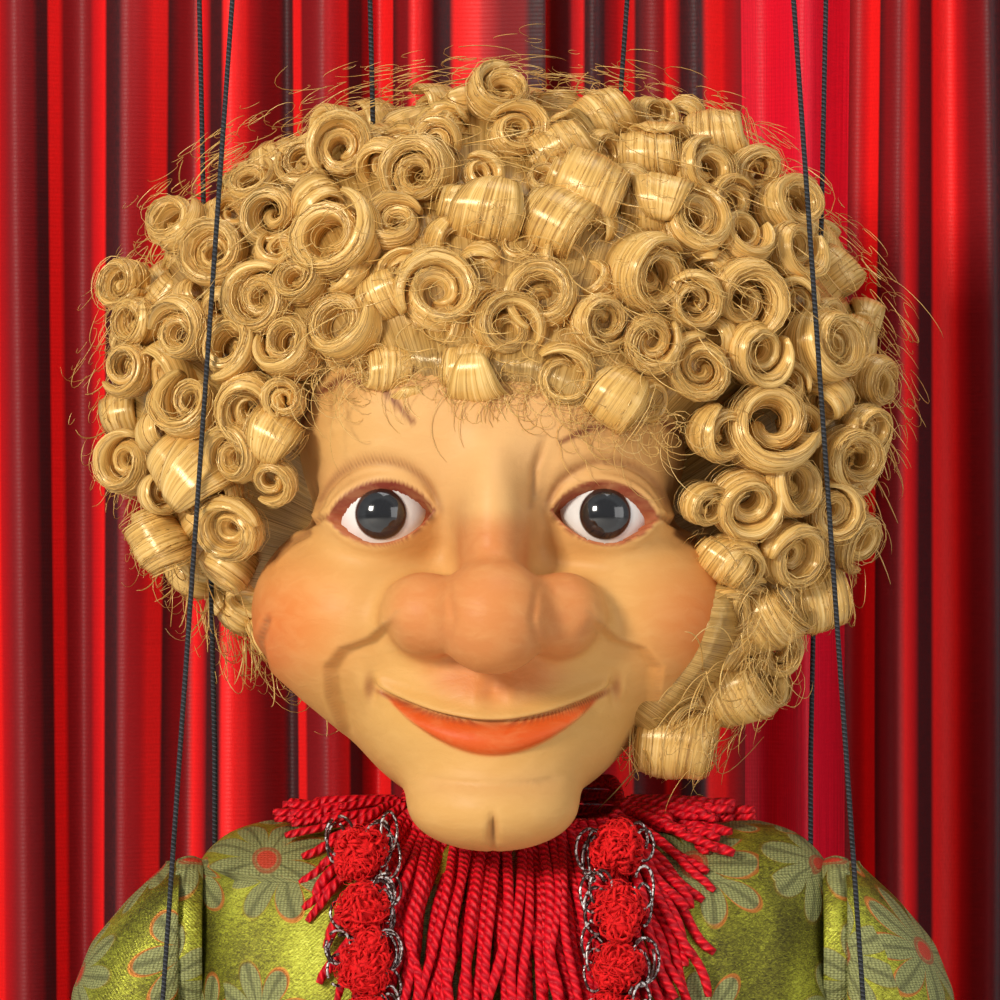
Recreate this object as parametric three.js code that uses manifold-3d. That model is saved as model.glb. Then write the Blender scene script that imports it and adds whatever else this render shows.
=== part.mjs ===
// A marionette hung on its table-top theatre stand. Two turned posts rise from a base board and carry a beam,
// a curtain rod with two red curtains, and an arm whose swivel hook holds the marionette by its wooden control.
// Millimetres, +Z up, the audience at -Y. Left and right are the viewer's.
import * as THREE from "three";
import { mergeVertices } from "three/addons/utils/BufferGeometryUtils.js";
import Module from "manifold-3d";

const wasm = await Module();
wasm.setup();

// Clearances and cutting
const gap = 0.3; // between pieces that touch
const running = 0.4; // round a pin that turns, and beside a tongue in its fork
const overrun = 4; // how far a cutter runs past what it cuts
const stringRadius = 0.65;

// The stand
const base = { width: 520, depth: 300, thick: 18, corner: 24, bevel: 4 };
const foot = { height: 8, radius: 15, taper: 3, inset: 36 };
const post = { inset: 25, behind: 110, rise: 812, radius: 9, tenon: 7, socket: 12 };
const bead = { radius: 15, half: 5, neck: 7, plinth: 17, plinthHeight: 26 };
const finial = { spigot: 4, seat: 11, height: 38, ball: 13, neck: 5 };
const beam = { past: 23, height: 24, depth: 28, round: 5 };
const arm = { width: 20, height: 20, nose: 15, tail: 24, root: 26, noseHeight: 12 };
const hook = { wire: 2, bowl: 8, throat: 13, knob: 8, knobHeight: 10 };
const rail = { radius: 5, below: 76, socket: 7 };
const curtain = { cloth: 2.4, sway: 8, folds: 8, header: 12, meet: 7, side: 12, hem: 14 };
const wand = { radius: 2.5, length: 190, ring: 8.6, wire: 1.4, from: 3.2 };

// The control
const puppetForward = 25; // the marionette's plane in front of the base's middle
const controlHeight = 805;
const control = { length: 160, width: 18, thick: 11, ahead: 76, end: 9, waist: 6 };
const eyelet = { ring: 6, wire: 1.4, shank: 8, foot: 1 };
const cross = { width: 12, thick: 10, past: 8 };
const headBar = { behind: 8, reach: 40 };
const shoulderBar = { behind: 34, reach: 84 };
const handBar = { ahead: 38, reach: 58 };

// The marionette
const soleGap = 14; // from the stage to the soles
const leg = { ankle: 22, shin: 83, thigh: 91, apart: 54, tongue: 7, ear: 3.6, pin: 2.2 };
const thigh = { radius: 17, depth: 18, top: 20, knee: 12, slot: 11 };
const shin = { radius: 9.5, tongue: 8.5, clear: 14, foot: 11 };
const shoe = { length: 62, width: 27, heel: 18, sole: 4, instep: 15, ear: 8, toe: 11 };
const trunk = { rise: 194, below: 12, halfWidth: 78, halfDepth: 32, axle: 2.5, hipEnd: 2, hipSlot: 15 };
const jacket = { halfWidth: 84, halfDepth: 46, above: 8, length: 214, wall: 4, power: 2.4 };
const shoulder = { rise: 158, apart: 190, end: 1 };
const shoulderString = { x: 76, y: 4, into: 16 };
const upperArm = { length: 98, radius: 6, head: 7, headWidth: 8, out: 6 };
const foreArm = { length: 87, radius: 6.5, ahead: 22, tongue: 5, fork: 6.5, pin: 1.8 };
const sleeve = { halfWidth: 15.5, halfDepth: 24, above: 27, bore: 10, cuff: 5 };
const hand = { length: 44, palm: 11, thick: 5.5, finger: 2.7, thumb: 3.4, thumbOut: 16, root: 8 };
const neck = { radius: 9, buried: 15, flange: 16, flangeHeight: 9, waist: 10, pivot: 34, tongue: 8, pin: 2 };
const neckBehind = 4;
const collarSides = 18;
const collar = { halfWidth: 31, halfDepth: 23, wall: 6, height: 7 };
const fringe = { proud: 2.8, off: 0.4, halfWidth: 64, drop: 60, tooth: 2.4, teeth: 16, back: 5, top: 14 };
const pompom = { radius: 7.4, pitch: 14, count: 5, core: 1.6, seat: 0.5, below: 14 };
const pompomPlaces = { left: -38, right: 26 };

// The head: faceHeight runs from the chin to the hairline
const faceHeight = 100;
const headAboveTrunk = 2;
const headOffset = 5; // it hangs this far to the viewer's left of the neck
const eye = { radius: 13, halfWidth: 12.9, above: 7.6, below: 7.2, apart: 56, height: 84, depth: 36 };
const iris = { radius: 6.5, proud: 1.5 };
const headBore = { radius: 17, above: 13, pinReach: 20 };
const headMesh = { around: 34, along: 22 };
const wigMesh = { around: 26, along: 18 };
const wigOff = 2.7;
const stringWay = 2.4; // clear of a string where it goes through the curls
const crown = { apart: 60, behind: 4 };
const handStringShare = 0.37; // of the hand's length, from the wrist to the knot

// Heights and places that follow
const stageTop = foot.height + base.thick;
const postX = base.width / 2 - post.inset;
const ankleHeight = stageTop + soleGap + leg.ankle;
const kneeHeight = ankleHeight + leg.shin;
const hipHeight = kneeHeight + leg.thigh;
const trunkBottom = hipHeight - trunk.below;
const trunkTop = trunkBottom + trunk.rise;
const chinHeight = trunkTop + headAboveTrunk;
const shoulderHeight = hipHeight + shoulder.rise;
const elbowHeight = shoulderHeight - upperArm.length;
const wristHeight = elbowHeight - foreArm.length;
const neckPivot = trunkTop + neck.pivot;
const beamBottom = stageTop + post.rise;
const beamTop = beamBottom + beam.height;
const armBottom = beamTop + gap;
const railHeight = beamBottom - rail.below;
const jacketTop = trunkTop + jacket.above;
const controlTop = controlHeight + control.thick / 2;
const eyeletHeight = controlTop + eyelet.foot + eyelet.ring + eyelet.wire;
const hookHeight = eyeletHeight + eyelet.ring - eyelet.wire - hook.wire - gap;

// Colours and finishes
const paint = (color, roughness, metalness = 0) => new THREE.MeshStandardMaterial({ color, roughness, metalness });
const finishes = {
  oak: paint(0x6b3a1e, 0.45),
  beech: paint(0xc99a62, 0.5),
  brass: paint(0xc9a24a, 0.3, 1),
  steel: paint(0xb9bcc0, 0.35, 1),
  rubber: paint(0x1d1c1b, 0.8),
  velvet: paint(0xb00d12, 0.6),
  skin: paint(0xe0a468, 0.5),
  white: paint(0xf2efe9, 0.3),
  dark: paint(0x121314, 0.1),
  blond: paint(0xc79a4b, 0.4),
  brocade: paint(0x8f9440, 0.4),
  scarlet: paint(0xb0101c, 0.6),
  thread: paint(0x1a1a1a, 0.7),
  maroon: paint(0x5a1018, 0.8),
  leather: paint(0x3a1d10, 0.4),
};

// Geometry to solids and back
function solidOf(geometry) {
  const bare = geometry.clone();
  bare.deleteAttribute("normal");
  bare.deleteAttribute("uv");
  const merged = mergeVertices(bare);
  return new wasm.Manifold(
    new wasm.Mesh({
      numProp: 3,
      vertProperties: new Float32Array(merged.attributes.position.array),
      triVerts: new Uint32Array(merged.index.array),
    }),
  );
}
function geometryOf(solid) {
  const mesh = solid.getMesh();
  const geometry = new THREE.BufferGeometry();
  geometry.setAttribute("position", new THREE.BufferAttribute(new Float32Array(mesh.vertProperties), 3));
  geometry.setIndex(new THREE.BufferAttribute(new Uint32Array(mesh.triVerts), 1));
  return geometry;
}
const joined = (...pieces) => geometryOf(pieces.map(solidOf).reduce((a, b) => a.add(b)));
const cut = (piece, ...cutters) => geometryOf(cutters.map(solidOf).reduce((a, b) => a.subtract(b), solidOf(piece)));
const common = (a, b) => geometryOf(solidOf(a).intersect(solidOf(b)));

// A solid without the slivers that a cut has left beside it
function largest(geometry) {
  const bodies = solidOf(geometry).decompose();
  return geometryOf(bodies.reduce((a, b) => (b.volume() > a.volume() ? b : a)));
}

// Plain shapes round the origin, and a way to put them in their place
const placed = (geometry, x, y, z) => geometry.clone().translate(x, y, z);
// How many sides round pieces have, from the thinnest to the roundest
const facets = { thin: 8, limb: 10, ball: 12, iris: 14, rod: 16, dome: 20 };
const rodX = (radius, length, around = facets.thin) =>
  new THREE.CylinderGeometry(radius, radius, length, around).rotateZ(Math.PI / 2);
const rodY = (radius, length, around = facets.ball) => new THREE.CylinderGeometry(radius, radius, length, around);
const rodZ = (radius, length, around = facets.limb) =>
  new THREE.CylinderGeometry(radius, radius, length, around).rotateX(Math.PI / 2);
const block = (x, y, z) => new THREE.BoxGeometry(x, y, z);
const ball = (radius, around = facets.ball) =>
  new THREE.SphereGeometry(radius, around, Math.round(around * 0.6)).rotateX(Math.PI / 2);
const turned = (profile, around = facets.limb) =>
  new THREE.LatheGeometry(
    profile.map(([r, h]) => new THREE.Vector2(r, h)),
    around,
  ).rotateX(Math.PI / 2);
const at = (x, y, z) => new THREE.Vector3(x, y, z);

// A skin over rings that hold equally many points, closed by a fan at either end
function skinned(rings) {
  const count = rings[0].length;
  const points = rings.flat();
  const index = [];
  for (let j = 0; j + 1 < rings.length; j++) {
    for (let i = 0; i < count; i++) {
      const a = j * count + i;
      const b = j * count + ((i + 1) % count);
      index.push(a, b, b + count, a, b + count, a + count);
    }
  }
  for (const end of [0, rings.length - 1]) {
    const centre = rings[end].reduce((sum, p) => sum.add(p), at(0, 0, 0)).divideScalar(count);
    points.push(centre);
    for (let i = 0; i < count; i++) {
      const a = end * count + i;
      const b = end * count + ((i + 1) % count);
      index.push(...(end ? [a, b, points.length - 1] : [b, a, points.length - 1]));
    }
  }
  let volume = 0;
  for (let i = 0; i < index.length; i += 3) {
    const [a, b, c] = [0, 1, 2].map((k) => points[index[i + k]]);
    volume += a.dot(at(0, 0, 0).crossVectors(b, c));
  }
  if (volume < 0) index.reverse();
  const geometry = new THREE.BufferGeometry().setFromPoints(points);
  geometry.setIndex(index);
  return geometry;
}

// A level ring, a superellipse of half width a and half depth b
function oval(height, a, b, around = 16, x = 0, y = 0, power = 2) {
  const bend = (v) => Math.sign(v) * Math.abs(v) ** (2 / power);
  return Array.from({ length: around }, (_, i) => {
    const turn = (2 * Math.PI * (i + 0.5)) / around;
    return at(x + a * bend(Math.cos(turn)), y + b * bend(Math.sin(turn)), height);
  });
}

// A round wire through points, with flat ends
function wire(points, radius, steps, around = 8) {
  const curve = points.length > 2 ? new THREE.CatmullRomCurve3(points) : new THREE.LineCurve3(...points);
  const section = new THREE.Shape(
    Array.from({ length: around }, (_, i) => {
      const turn = (2 * Math.PI * i) / around;
      return new THREE.Vector2(radius * Math.cos(turn), radius * Math.sin(turn));
    }),
  );
  return new THREE.ExtrudeGeometry(section, { steps, extrudePath: curve, bevelEnabled: false });
}

// A ring of round wire standing in the plane across X
const standingRing = (radius, thick, around = facets.ball) =>
  new THREE.TorusGeometry(radius, thick, 5, around).rotateY(Math.PI / 2);

// An outline in X and Z made deep along Y, and one in Y and Z made wide along X
function deep(outline, depth) {
  const shape = new THREE.Shape(outline.map(([x, z]) => new THREE.Vector2(x, z)));
  const geometry = new THREE.ExtrudeGeometry(shape, { depth, bevelEnabled: false });
  return geometry.translate(0, 0, -depth / 2).rotateX(Math.PI / 2);
}
function wide(outline, width) {
  const shape = new THREE.Shape(outline.map(([y, z]) => new THREE.Vector2(y, z)));
  const geometry = new THREE.ExtrudeGeometry(shape, { depth: width, bevelEnabled: false });
  return geometry.translate(0, 0, -width / 2).rotateZ(Math.PI / 2).rotateY(Math.PI / 2);
}

// A bar seen from above, with round ends, length along X
function bar(length, width, thick, corner) {
  const shape = new THREE.Shape();
  const x = length / 2 - corner;
  const y = width / 2 - corner;
  shape.absarc(x, -y, corner, -Math.PI / 2, 0);
  shape.absarc(x, y, corner, 0, Math.PI / 2);
  shape.absarc(-x, y, corner, Math.PI / 2, Math.PI);
  shape.absarc(-x, -y, corner, Math.PI, 1.5 * Math.PI);
  return new THREE.ExtrudeGeometry(shape, { depth: thick, bevelEnabled: false, curveSegments: 3 }).translate(
    0,
    0,
    -thick / 2,
  );
}

const part = new THREE.Group();
const puppet = new THREE.Group();
puppet.position.y = -puppetForward;
part.add(puppet);
function node(name, geometry, finish, parent = puppet) {
  const mesh = new THREE.Mesh(geometry, finishes[finish].clone());
  mesh.name = name;
  parent.add(mesh);
}
const sides = { left: -1, right: 1 };

// The base board with its bevelled edge, on four rubber feet
function baseBoard() {
  const lower = bar(base.width, base.depth, base.thick - base.bevel, base.corner);
  const upper = bar(base.width - 2 * base.bevel, base.depth - 2 * base.bevel, base.thick, base.corner - base.bevel);
  const board = joined(placed(lower, 0, 0, -base.bevel / 2), upper);
  const sockets = Object.values(sides).map((side) =>
    placed(rodZ(post.tenon + gap, post.socket + overrun), side * postX, post.behind,
      base.thick / 2 - (post.socket - overrun) / 2),
  );
  node("base_board", placed(cut(board, ...sockets), 0, 0, foot.height + base.thick / 2), "oak", part);
  for (const [end, y] of [["front", -1], ["back", 1]])
    for (const [tag, x] of Object.entries(sides)) {
      const pad = turned([[0, 0], [foot.radius - foot.taper, 0], [foot.radius, foot.taper],
        [foot.radius, foot.height - gap], [0, foot.height - gap]], 10);
      node(`foot_${end}_${tag}`, placed(pad, x * (base.width / 2 - foot.inset), y * (base.depth / 2 - foot.inset), 0),
        "rubber", part);
    }
}

// A turned post: plinth, beads at shares of its height, a tenon at either end
function posts() {
  const beadShares = [0.1, 0.45, 0.8];
  const top = post.rise - gap;
  for (const [tag, side] of Object.entries(sides)) {
    const profile = [[0, -post.socket + gap], [post.tenon, -post.socket + gap], [post.tenon, gap],
      [bead.plinth, gap], [bead.plinth, bead.plinthHeight], [post.radius, bead.plinthHeight + bead.half]];
    for (const share of beadShares)
      profile.push(
        [post.radius, share * post.rise - 2 * bead.half],
        [bead.neck, share * post.rise - bead.half],
        [bead.radius, share * post.rise],
        [bead.neck, share * post.rise + bead.half],
        [post.radius, share * post.rise + 2 * bead.half],
      );
    profile.push([post.radius, top - 2 * bead.half], [bead.radius, top - bead.half], [bead.radius, top],
      [post.tenon, top], [post.tenon, top + post.socket - gap], [0, top + post.socket - gap]);
    const socket = rodX(rail.radius + gap, rail.socket + overrun, facets.rod);
    const shaft = cut(turned(profile), placed(socket, -side * (post.radius - rail.socket / 2 + overrun / 2), 0,
      railHeight - stageTop));
    node(`post_${tag}`, placed(shaft, side * postX, post.behind, stageTop), "oak", part);
    const cap = turned([[0, -post.socket / 2], [finial.spigot, -post.socket / 2], [finial.spigot, gap],
      [finial.seat, gap], [finial.seat, finial.neck], [finial.neck, 2 * finial.neck],
      [finial.ball, finial.height - 1.5 * finial.ball], [finial.ball * 0.8, finial.height - finial.ball * 0.5],
      [finial.neck, finial.height], [0, finial.height + finial.neck / 2]]);
    node(`finial_${tag}`, placed(cap, side * postX, post.behind, beamTop), "oak", part);
  }
}

// The beam on the posts, and the arm that lies on it and carries the swivel hook at its nose
function beamAndArm() {
  const timber = bar(2 * (postX + beam.past), beam.depth, beam.height, beam.round);
  const sockets = Object.values(sides).flatMap((side) => [
    placed(rodZ(post.tenon + gap, post.socket + overrun), side * postX, 0,
      -beam.height / 2 + (post.socket - overrun) / 2),
    placed(rodZ(finial.spigot + gap, post.socket / 2 + overrun), side * postX, 0,
      beam.height / 2 - (post.socket / 2 - overrun) / 2),
  ]);
  node("top_beam", placed(cut(timber, ...sockets), 0, post.behind, beamBottom + beam.height / 2), "oak", part);
  const front = -puppetForward - arm.nose;
  const back = post.behind + arm.tail;
  const outline = [[back, 0], [back, arm.height / 2], [back - arm.height / 2, arm.height],
    [post.behind - beam.depth, arm.height]];
  const sweepShares = [0.15, 0.3, 0.45, 0.6, 0.75, 0.9];
  for (const share of sweepShares) {
    const dip = Math.sin(Math.PI * share) ** 2 * (arm.height - arm.noseHeight) * 0.5;
    outline.push([post.behind - beam.depth + share * (front - post.behind + beam.depth),
      arm.height - share * (arm.height - arm.noseHeight) - dip]);
  }
  outline.push([front, arm.noseHeight * 0.7], [front, arm.noseHeight * 0.3], [front + arm.noseHeight * 0.3, 0]);
  const bracket = placed(wide(outline, arm.width), 0, 0, armBottom);
  const hole = placed(rodZ(hook.wire + running, 2 * arm.height), 0, -puppetForward, armBottom);
  const flat = placed(block(2 * arm.width, 2 * hook.knob + 2 * gap, arm.height), 0, -puppetForward,
    armBottom + arm.noseHeight * 0.8 + arm.height / 2);
  node("hanger_arm", cut(bracket, hole, flat), "oak", part);
}
const noseTop = armBottom + arm.noseHeight * 0.8;

// The swivel hook: a brass knob over the arm, the wire through it, and a bowl across X
function swivelHook() {
  const drop = hookHeight;
  const points = [at(0, 0, noseTop + gap + hook.knob / 2), at(0, 0, armBottom), at(0, 0, drop + 3 * hook.bowl),
    at(-hook.bowl * 0.75, 0, drop + 2 * hook.bowl), at(-hook.bowl, 0, drop + hook.bowl),
    at(-hook.bowl * 0.7, 0, drop + hook.bowl * 0.3), at(0, 0, drop), at(hook.bowl * 0.7, 0, drop + hook.bowl * 0.3),
    at(hook.bowl, 0, drop + hook.bowl), at(hook.bowl * 1.1, 0, drop + hook.throat)];
  const knob = turned([[0, 0], [hook.knob * 0.8, 0], [hook.knob, hook.knobHeight * 0.3],
    [hook.knob * 0.7, hook.knobHeight * 0.8], [0, hook.knobHeight]], 16);
  const shank = wire(points, hook.wire, 18, 6);
  node("swivel_hook", joined(shank, placed(knob, 0, 0, noseTop + gap)), "brass");
}

// The rod between the posts, two pleated curtains on it, and a draw wand beside each leading edge
function curtains() {
  const inside = postX - post.radius;
  const rod = rodX(rail.radius, 2 * (inside + rail.socket - 2 * gap), 16);
  node("curtain_rod", placed(rod, 0, post.behind, railHeight), "brass", part);
  const from = curtain.meet;
  const to = inside - curtain.side;
  const bottom = stageTop + curtain.hem;
  const steps = curtain.folds * 6;
  for (const [tag, side] of Object.entries(sides)) {
    const centre = Array.from({ length: steps + 1 }, (_, i) => {
      const turn = (2 * Math.PI * i) / 6;
      const x = from + ((to - from) * i) / steps;
      const sway = curtain.sway * Math.sin(turn) * (1 + 0.2 * Math.sin(turn * 0.31));
      const slope = (2 * Math.PI * curtain.sway * curtain.folds * Math.cos(turn)) / (to - from);
      return [x, sway, (curtain.cloth / 2) * Math.hypot(1, slope)];
    });
    const outline = [
      ...centre.map(([x, y, half]) => [x, y - half]),
      ...centre.reverse().map(([x, y, half]) => [x, y + half]),
    ];
    const shape = new THREE.Shape(outline.map(([x, y]) => new THREE.Vector2(side * x, y)));
    const height = railHeight + curtain.header - bottom;
    const cloth = new THREE.ExtrudeGeometry(shape, { depth: height, bevelEnabled: false });
    const pocket = placed(block(4 * postX, 2 * (rail.radius + running), 2 * (rail.radius + running)), 0,
      post.behind, railHeight);
    node(`curtain_${tag}`, cut(placed(cloth, 0, post.behind, bottom), pocket), "velvet", part);
    const ring = standingRing(wand.ring, wand.wire);
    const hang = wand.ring - wand.wire - rail.radius - gap;
    const stick = turned([[0, 0], [wand.radius, wand.radius], [wand.radius * 0.6, wand.length],
      [0, wand.length + wand.radius]], 8);
    const draw = joined(placed(ring, 0, 0, -hang), placed(stick, 0, 0, -hang - wand.ring - wand.length));
    node(`curtain_wand_${tag}`, placed(draw, side * wand.from, post.behind, railHeight), "brass", part);
  }
}

// The wooden control: a long bar, a head bar and a shoulder bar screwed below it, the hand bar lying on it
function controls() {
  const eyeHole = placed(rodZ(eyelet.wire + gap, eyelet.shank + overrun), 0, control.ahead - control.length / 2,
    control.thick / 2 - (eyelet.shank - overrun) / 2);
  const grip = bar(control.width, control.length, control.thick, control.end);
  const waist = block(control.waist, 2 * control.width, 2 * control.thick);
  const waists = Object.values(sides).map((side) =>
    placed(waist, side * (control.width / 2 + control.waist * 0.1), -control.length * 0.3, 0));
  const stick = cut(grip, eyeHole, ...waists);
  node("control_bar", placed(stick, 0, control.length / 2 - control.ahead, controlHeight), "beech");
  const under = controlHeight - control.thick / 2 - gap - cross.thick / 2;
  const over = controlTop + gap + cross.thick / 2;
  for (const [name, place, y, z] of [
    ["head_bar", headBar, headBar.behind, under],
    ["shoulder_bar", shoulderBar, shoulderBar.behind, under],
    ["hand_bar", handBar, -handBar.ahead, over],
  ])
    node(name, placed(bar(2 * (place.reach + cross.past), cross.width, cross.thick, cross.width / 2 - gap), 0, y, z),
      "beech");
  const ring = standingRing(eyelet.ring, eyelet.wire);
  const shank = rodZ(eyelet.wire, eyelet.shank + eyelet.foot + eyelet.wire / 2, facets.limb);
  const bottom = controlTop - eyelet.shank + gap;
  const reach = eyelet.shank + eyelet.foot + eyelet.wire / 2;
  node("control_eyelet", joined(placed(ring, 0, 0, eyeletHeight), placed(shank, 0, 0, bottom + reach / 2)), "brass");
}

// The jacket's level rings: height below its top, half width, half depth and how far back, as shares of the jacket's
const jacketShares = [
  [0, 0.74, 0.2, 0.16], [0.01, 0.86, 0.34, 0.13], [0.03, 0.93, 0.5, 0.1], [0.06, 0.98, 0.64, 0.06],
  [0.13, 1, 0.84, 0.02], [0.26, 0.97, 0.96, 0], [0.42, 0.88, 0.94, 0], [0.59, 0.82, 0.9, 0], [0.8, 0.87, 1, 0],
  [1, 0.96, 1.14, 0],
];
function jacketSolid(grown, lift = 0, past = 0) {
  return skinned(
    jacketShares.map(([down, a, b, back], i) =>
      oval(jacketTop + lift - down * jacket.length - (i + 1 === jacketShares.length ? past : 0),
        (jacket.halfWidth + grown) * a, (jacket.halfDepth + grown) * b, 16, 0, jacket.halfDepth * back, jacket.power)),
  );
}
// How far forward the jacket stands at x on the level z
function jacketFront(x, z) {
  const down = (jacketTop - z) / jacket.length;
  const i = Math.max(1, jacketShares.findIndex(([share]) => share >= down));
  const above = jacketShares[i - 1];
  const share = (down - above[0]) / (jacketShares[i][0] - above[0]);
  const [, a, b, back] = above.map((value, k) => value + share * (jacketShares[i][k] - value));
  const round = (1 - Math.abs(x / (a * jacket.halfWidth)) ** jacket.power) ** (1 / jacket.power);
  return (b * round - back) * jacket.halfDepth;
}

// The carved trunk block, slotted below for the thighs and bored for the neck and the two axles
function torso() {
  const trunkShares = [
    [0, 0.56, 0.6], [0.04, 0.66, 0.86], [0.13, 0.68, 1], [0.4, 0.58, 0.94], [0.65, 0.74, 1.06], [0.82, 0.98, 0.94],
    [0.9, 1, 0.84], [0.96, 0.92, 0.56], [1, 0.76, 0.34],
  ];
  const wood = skinned(
    trunkShares.map(([up, a, b]) =>
      oval(trunkBottom + up * trunk.rise, trunk.halfWidth * a, trunk.halfDepth * b, 12, 0, 0, jacket.power)),
  );
  const neckBore = placed(rodZ(neck.radius + running, neck.buried + overrun, facets.rod), 0, neckBehind,
    trunkTop - (neck.buried - overrun) / 2);
  const shoulderHole = placed(rodX(trunk.axle + gap, 3 * trunk.halfWidth), 0, 0, shoulderHeight);
  const hipHole = placed(rodX(trunk.axle + gap, 3 * trunk.halfWidth), 0, 0, hipHeight);
  const slots = Object.values(sides).map((side) =>
    placed(block(leg.tongue + 2 * running, 3 * trunk.halfDepth, trunk.below + trunk.hipSlot),
      side * (leg.apart / 2), 0, trunkBottom + (trunk.below + trunk.hipSlot) / 2 - gap));
  const knots = Object.values(sides).map((side) =>
    placed(rodZ(stringRadius + 2 * running, trunk.rise, facets.thin), side * shoulderString.x, shoulderString.y,
      shoulderHeight + 2 * trunk.axle - gap + trunk.rise / 2));
  node("trunk", cut(wood, neckBore, shoulderHole, hipHole, ...slots, ...knots), "beech");
  const shoulderReach = (shoulder.apart + upperArm.headWidth) / 2 + shoulder.end;
  const hipReach = leg.apart / 2 + thigh.radius + trunk.hipEnd;
  node("shoulder_axle", placed(rodX(trunk.axle, 2 * shoulderReach), 0, 0, shoulderHeight), "steel");
  node("hip_axle", placed(rodX(trunk.axle, 2 * hipReach), 0, 0, hipHeight), "steel");
}

// The jacket, open at the neck and the hem, its shoulders cut flat where the sleeves begin
function jacketAndTrims() {
  const neckHole = placed(
    rodZ(1, jacket.above * 4, collarSides).scale(collar.halfWidth + 2 * gap, collar.halfDepth + 2 * gap, 1),
    0, neckBehind, jacketTop);
  const axleHole = placed(rodX(trunk.axle + gap, 3 * jacket.halfWidth), 0, 0, shoulderHeight);
  const stringHoles = Object.values(sides).map((side) =>
    placed(rodZ(stringRadius + 3 * running, 4 * jacket.above, facets.thin),
      side * shoulderString.x, shoulderString.y, jacketTop));
  const coat = cut(jacketSolid(0), jacketSolid(-jacket.wall, -jacket.wall, jacket.wall + overrun), neckHole, axleHole,
    ...stringHoles);
  node("jacket", largest(coat), "brocade");

  const inner = placed(
    rodZ(1, 4 * collar.height, collarSides).scale(collar.halfWidth - collar.wall, collar.halfDepth - collar.wall, 1),
    0, neckBehind, trunkTop);
  const outer = placed(rodZ(1, collar.height, collarSides).scale(collar.halfWidth, collar.halfDepth, 1), 0, neckBehind,
    trunkTop + gap + collar.height / 2);
  node("neckband", cut(outer, inner), "scarlet");

  const lip = jacketTop + fringe.top;
  const low = trunkTop;
  const edge = Array.from({ length: 2 * fringe.teeth + 1 }, (_, i) => {
    const turn = Math.PI * (1 + i / (2 * fringe.teeth));
    const out = i % 2 ? 0 : fringe.tooth;
    return [(fringe.halfWidth - out) * Math.cos(turn), low + (fringe.drop - out) * Math.sin(turn)];
  });
  const bib = placed(deep([[-fringe.halfWidth, lip], ...edge, [fringe.halfWidth, lip]], 2 * jacket.halfDepth), 0,
    fringe.back - jacket.halfDepth, 0);
  const shell = cut(common(jacketSolid(fringe.proud, fringe.proud), bib), jacketSolid(fringe.off, fringe.off), neckHole,
    axleHole);
  node("fringe", largest(shell), "scarlet");

  for (const [tag, x] of Object.entries(pompomPlaces)) {
    const centres = Array.from({ length: pompom.count }, (_, i) => {
      const z = trunkTop - pompom.below + pompom.radius - i * pompom.pitch;
      const front = Math.max(jacketFront(x, z), jacketFront(x, z - pompom.radius));
      return at(x, -front - fringe.proud * 0.7 - pompom.seat - pompom.radius, z);
    });
    const core = wire(centres, pompom.core, 8, 4);
    node(`pompom_trim_${tag}`, joined(core, ...centres.map((c) => placed(ball(pompom.radius, 7), c.x, c.y, c.z))),
      "scarlet");
  }
}

// The neck turns in the trunk, and its tongue stands in the head
function neckPeg() {
  const profile = [[0, -neck.buried + gap], [neck.radius, -neck.buried + gap], [neck.radius, gap],
    [neck.flange, gap], [neck.flange, neck.flangeHeight], [neck.waist, neck.flangeHeight + neck.waist * 0.6],
    [neck.waist, neck.pivot], [neck.waist * 0.7, neck.pivot + neck.waist * 0.7], [0, neck.pivot + neck.waist]];
  const cheeks = Object.values(sides).map((side) =>
    placed(block(neck.waist * 2, neck.waist * 4, neck.pivot), side * (neck.tongue / 2 + neck.waist), 0,
      neck.pivot * 1.1));
  const hole = placed(rodX(neck.pin + running, 4 * neck.waist), 0, 0, neck.pivot);
  node("neck_peg", placed(cut(turned(profile, 16), ...cheeks, hole), 0, neckBehind, trunkTop), "beech");
}


// A hinge half with a hole, and the neck that joins it to a limb hanging below the pivot
const eyeEnd = (radius, width, hole) => cut(rodX(radius, width, facets.limb), rodX(hole, 2 * width));
function tongue(radius, width, hole, reach) {
  const web = placed(block(width, 1.6 * radius, reach), 0, 0, -reach / 2);
  return cut(joined(rodX(radius, width, facets.limb), web), rodX(hole, 2 * width));
}
// A limb with a fork at its lower end: ears of the given radius, a slot for the next tongue, the pin across
function forked(limb, length, ear, width, slot, pin) {
  const ears = placed(rodX(ear, width, facets.limb), 0, 0, -length);
  const way = placed(block(slot, 4 * ear, 2 * ear + 2 * overrun), 0, 0, -length - overrun + running);
  return joined(cut(joined(limb, ears), way), placed(rodX(pin, width * 0.9), 0, 0, -length));
}

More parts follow.
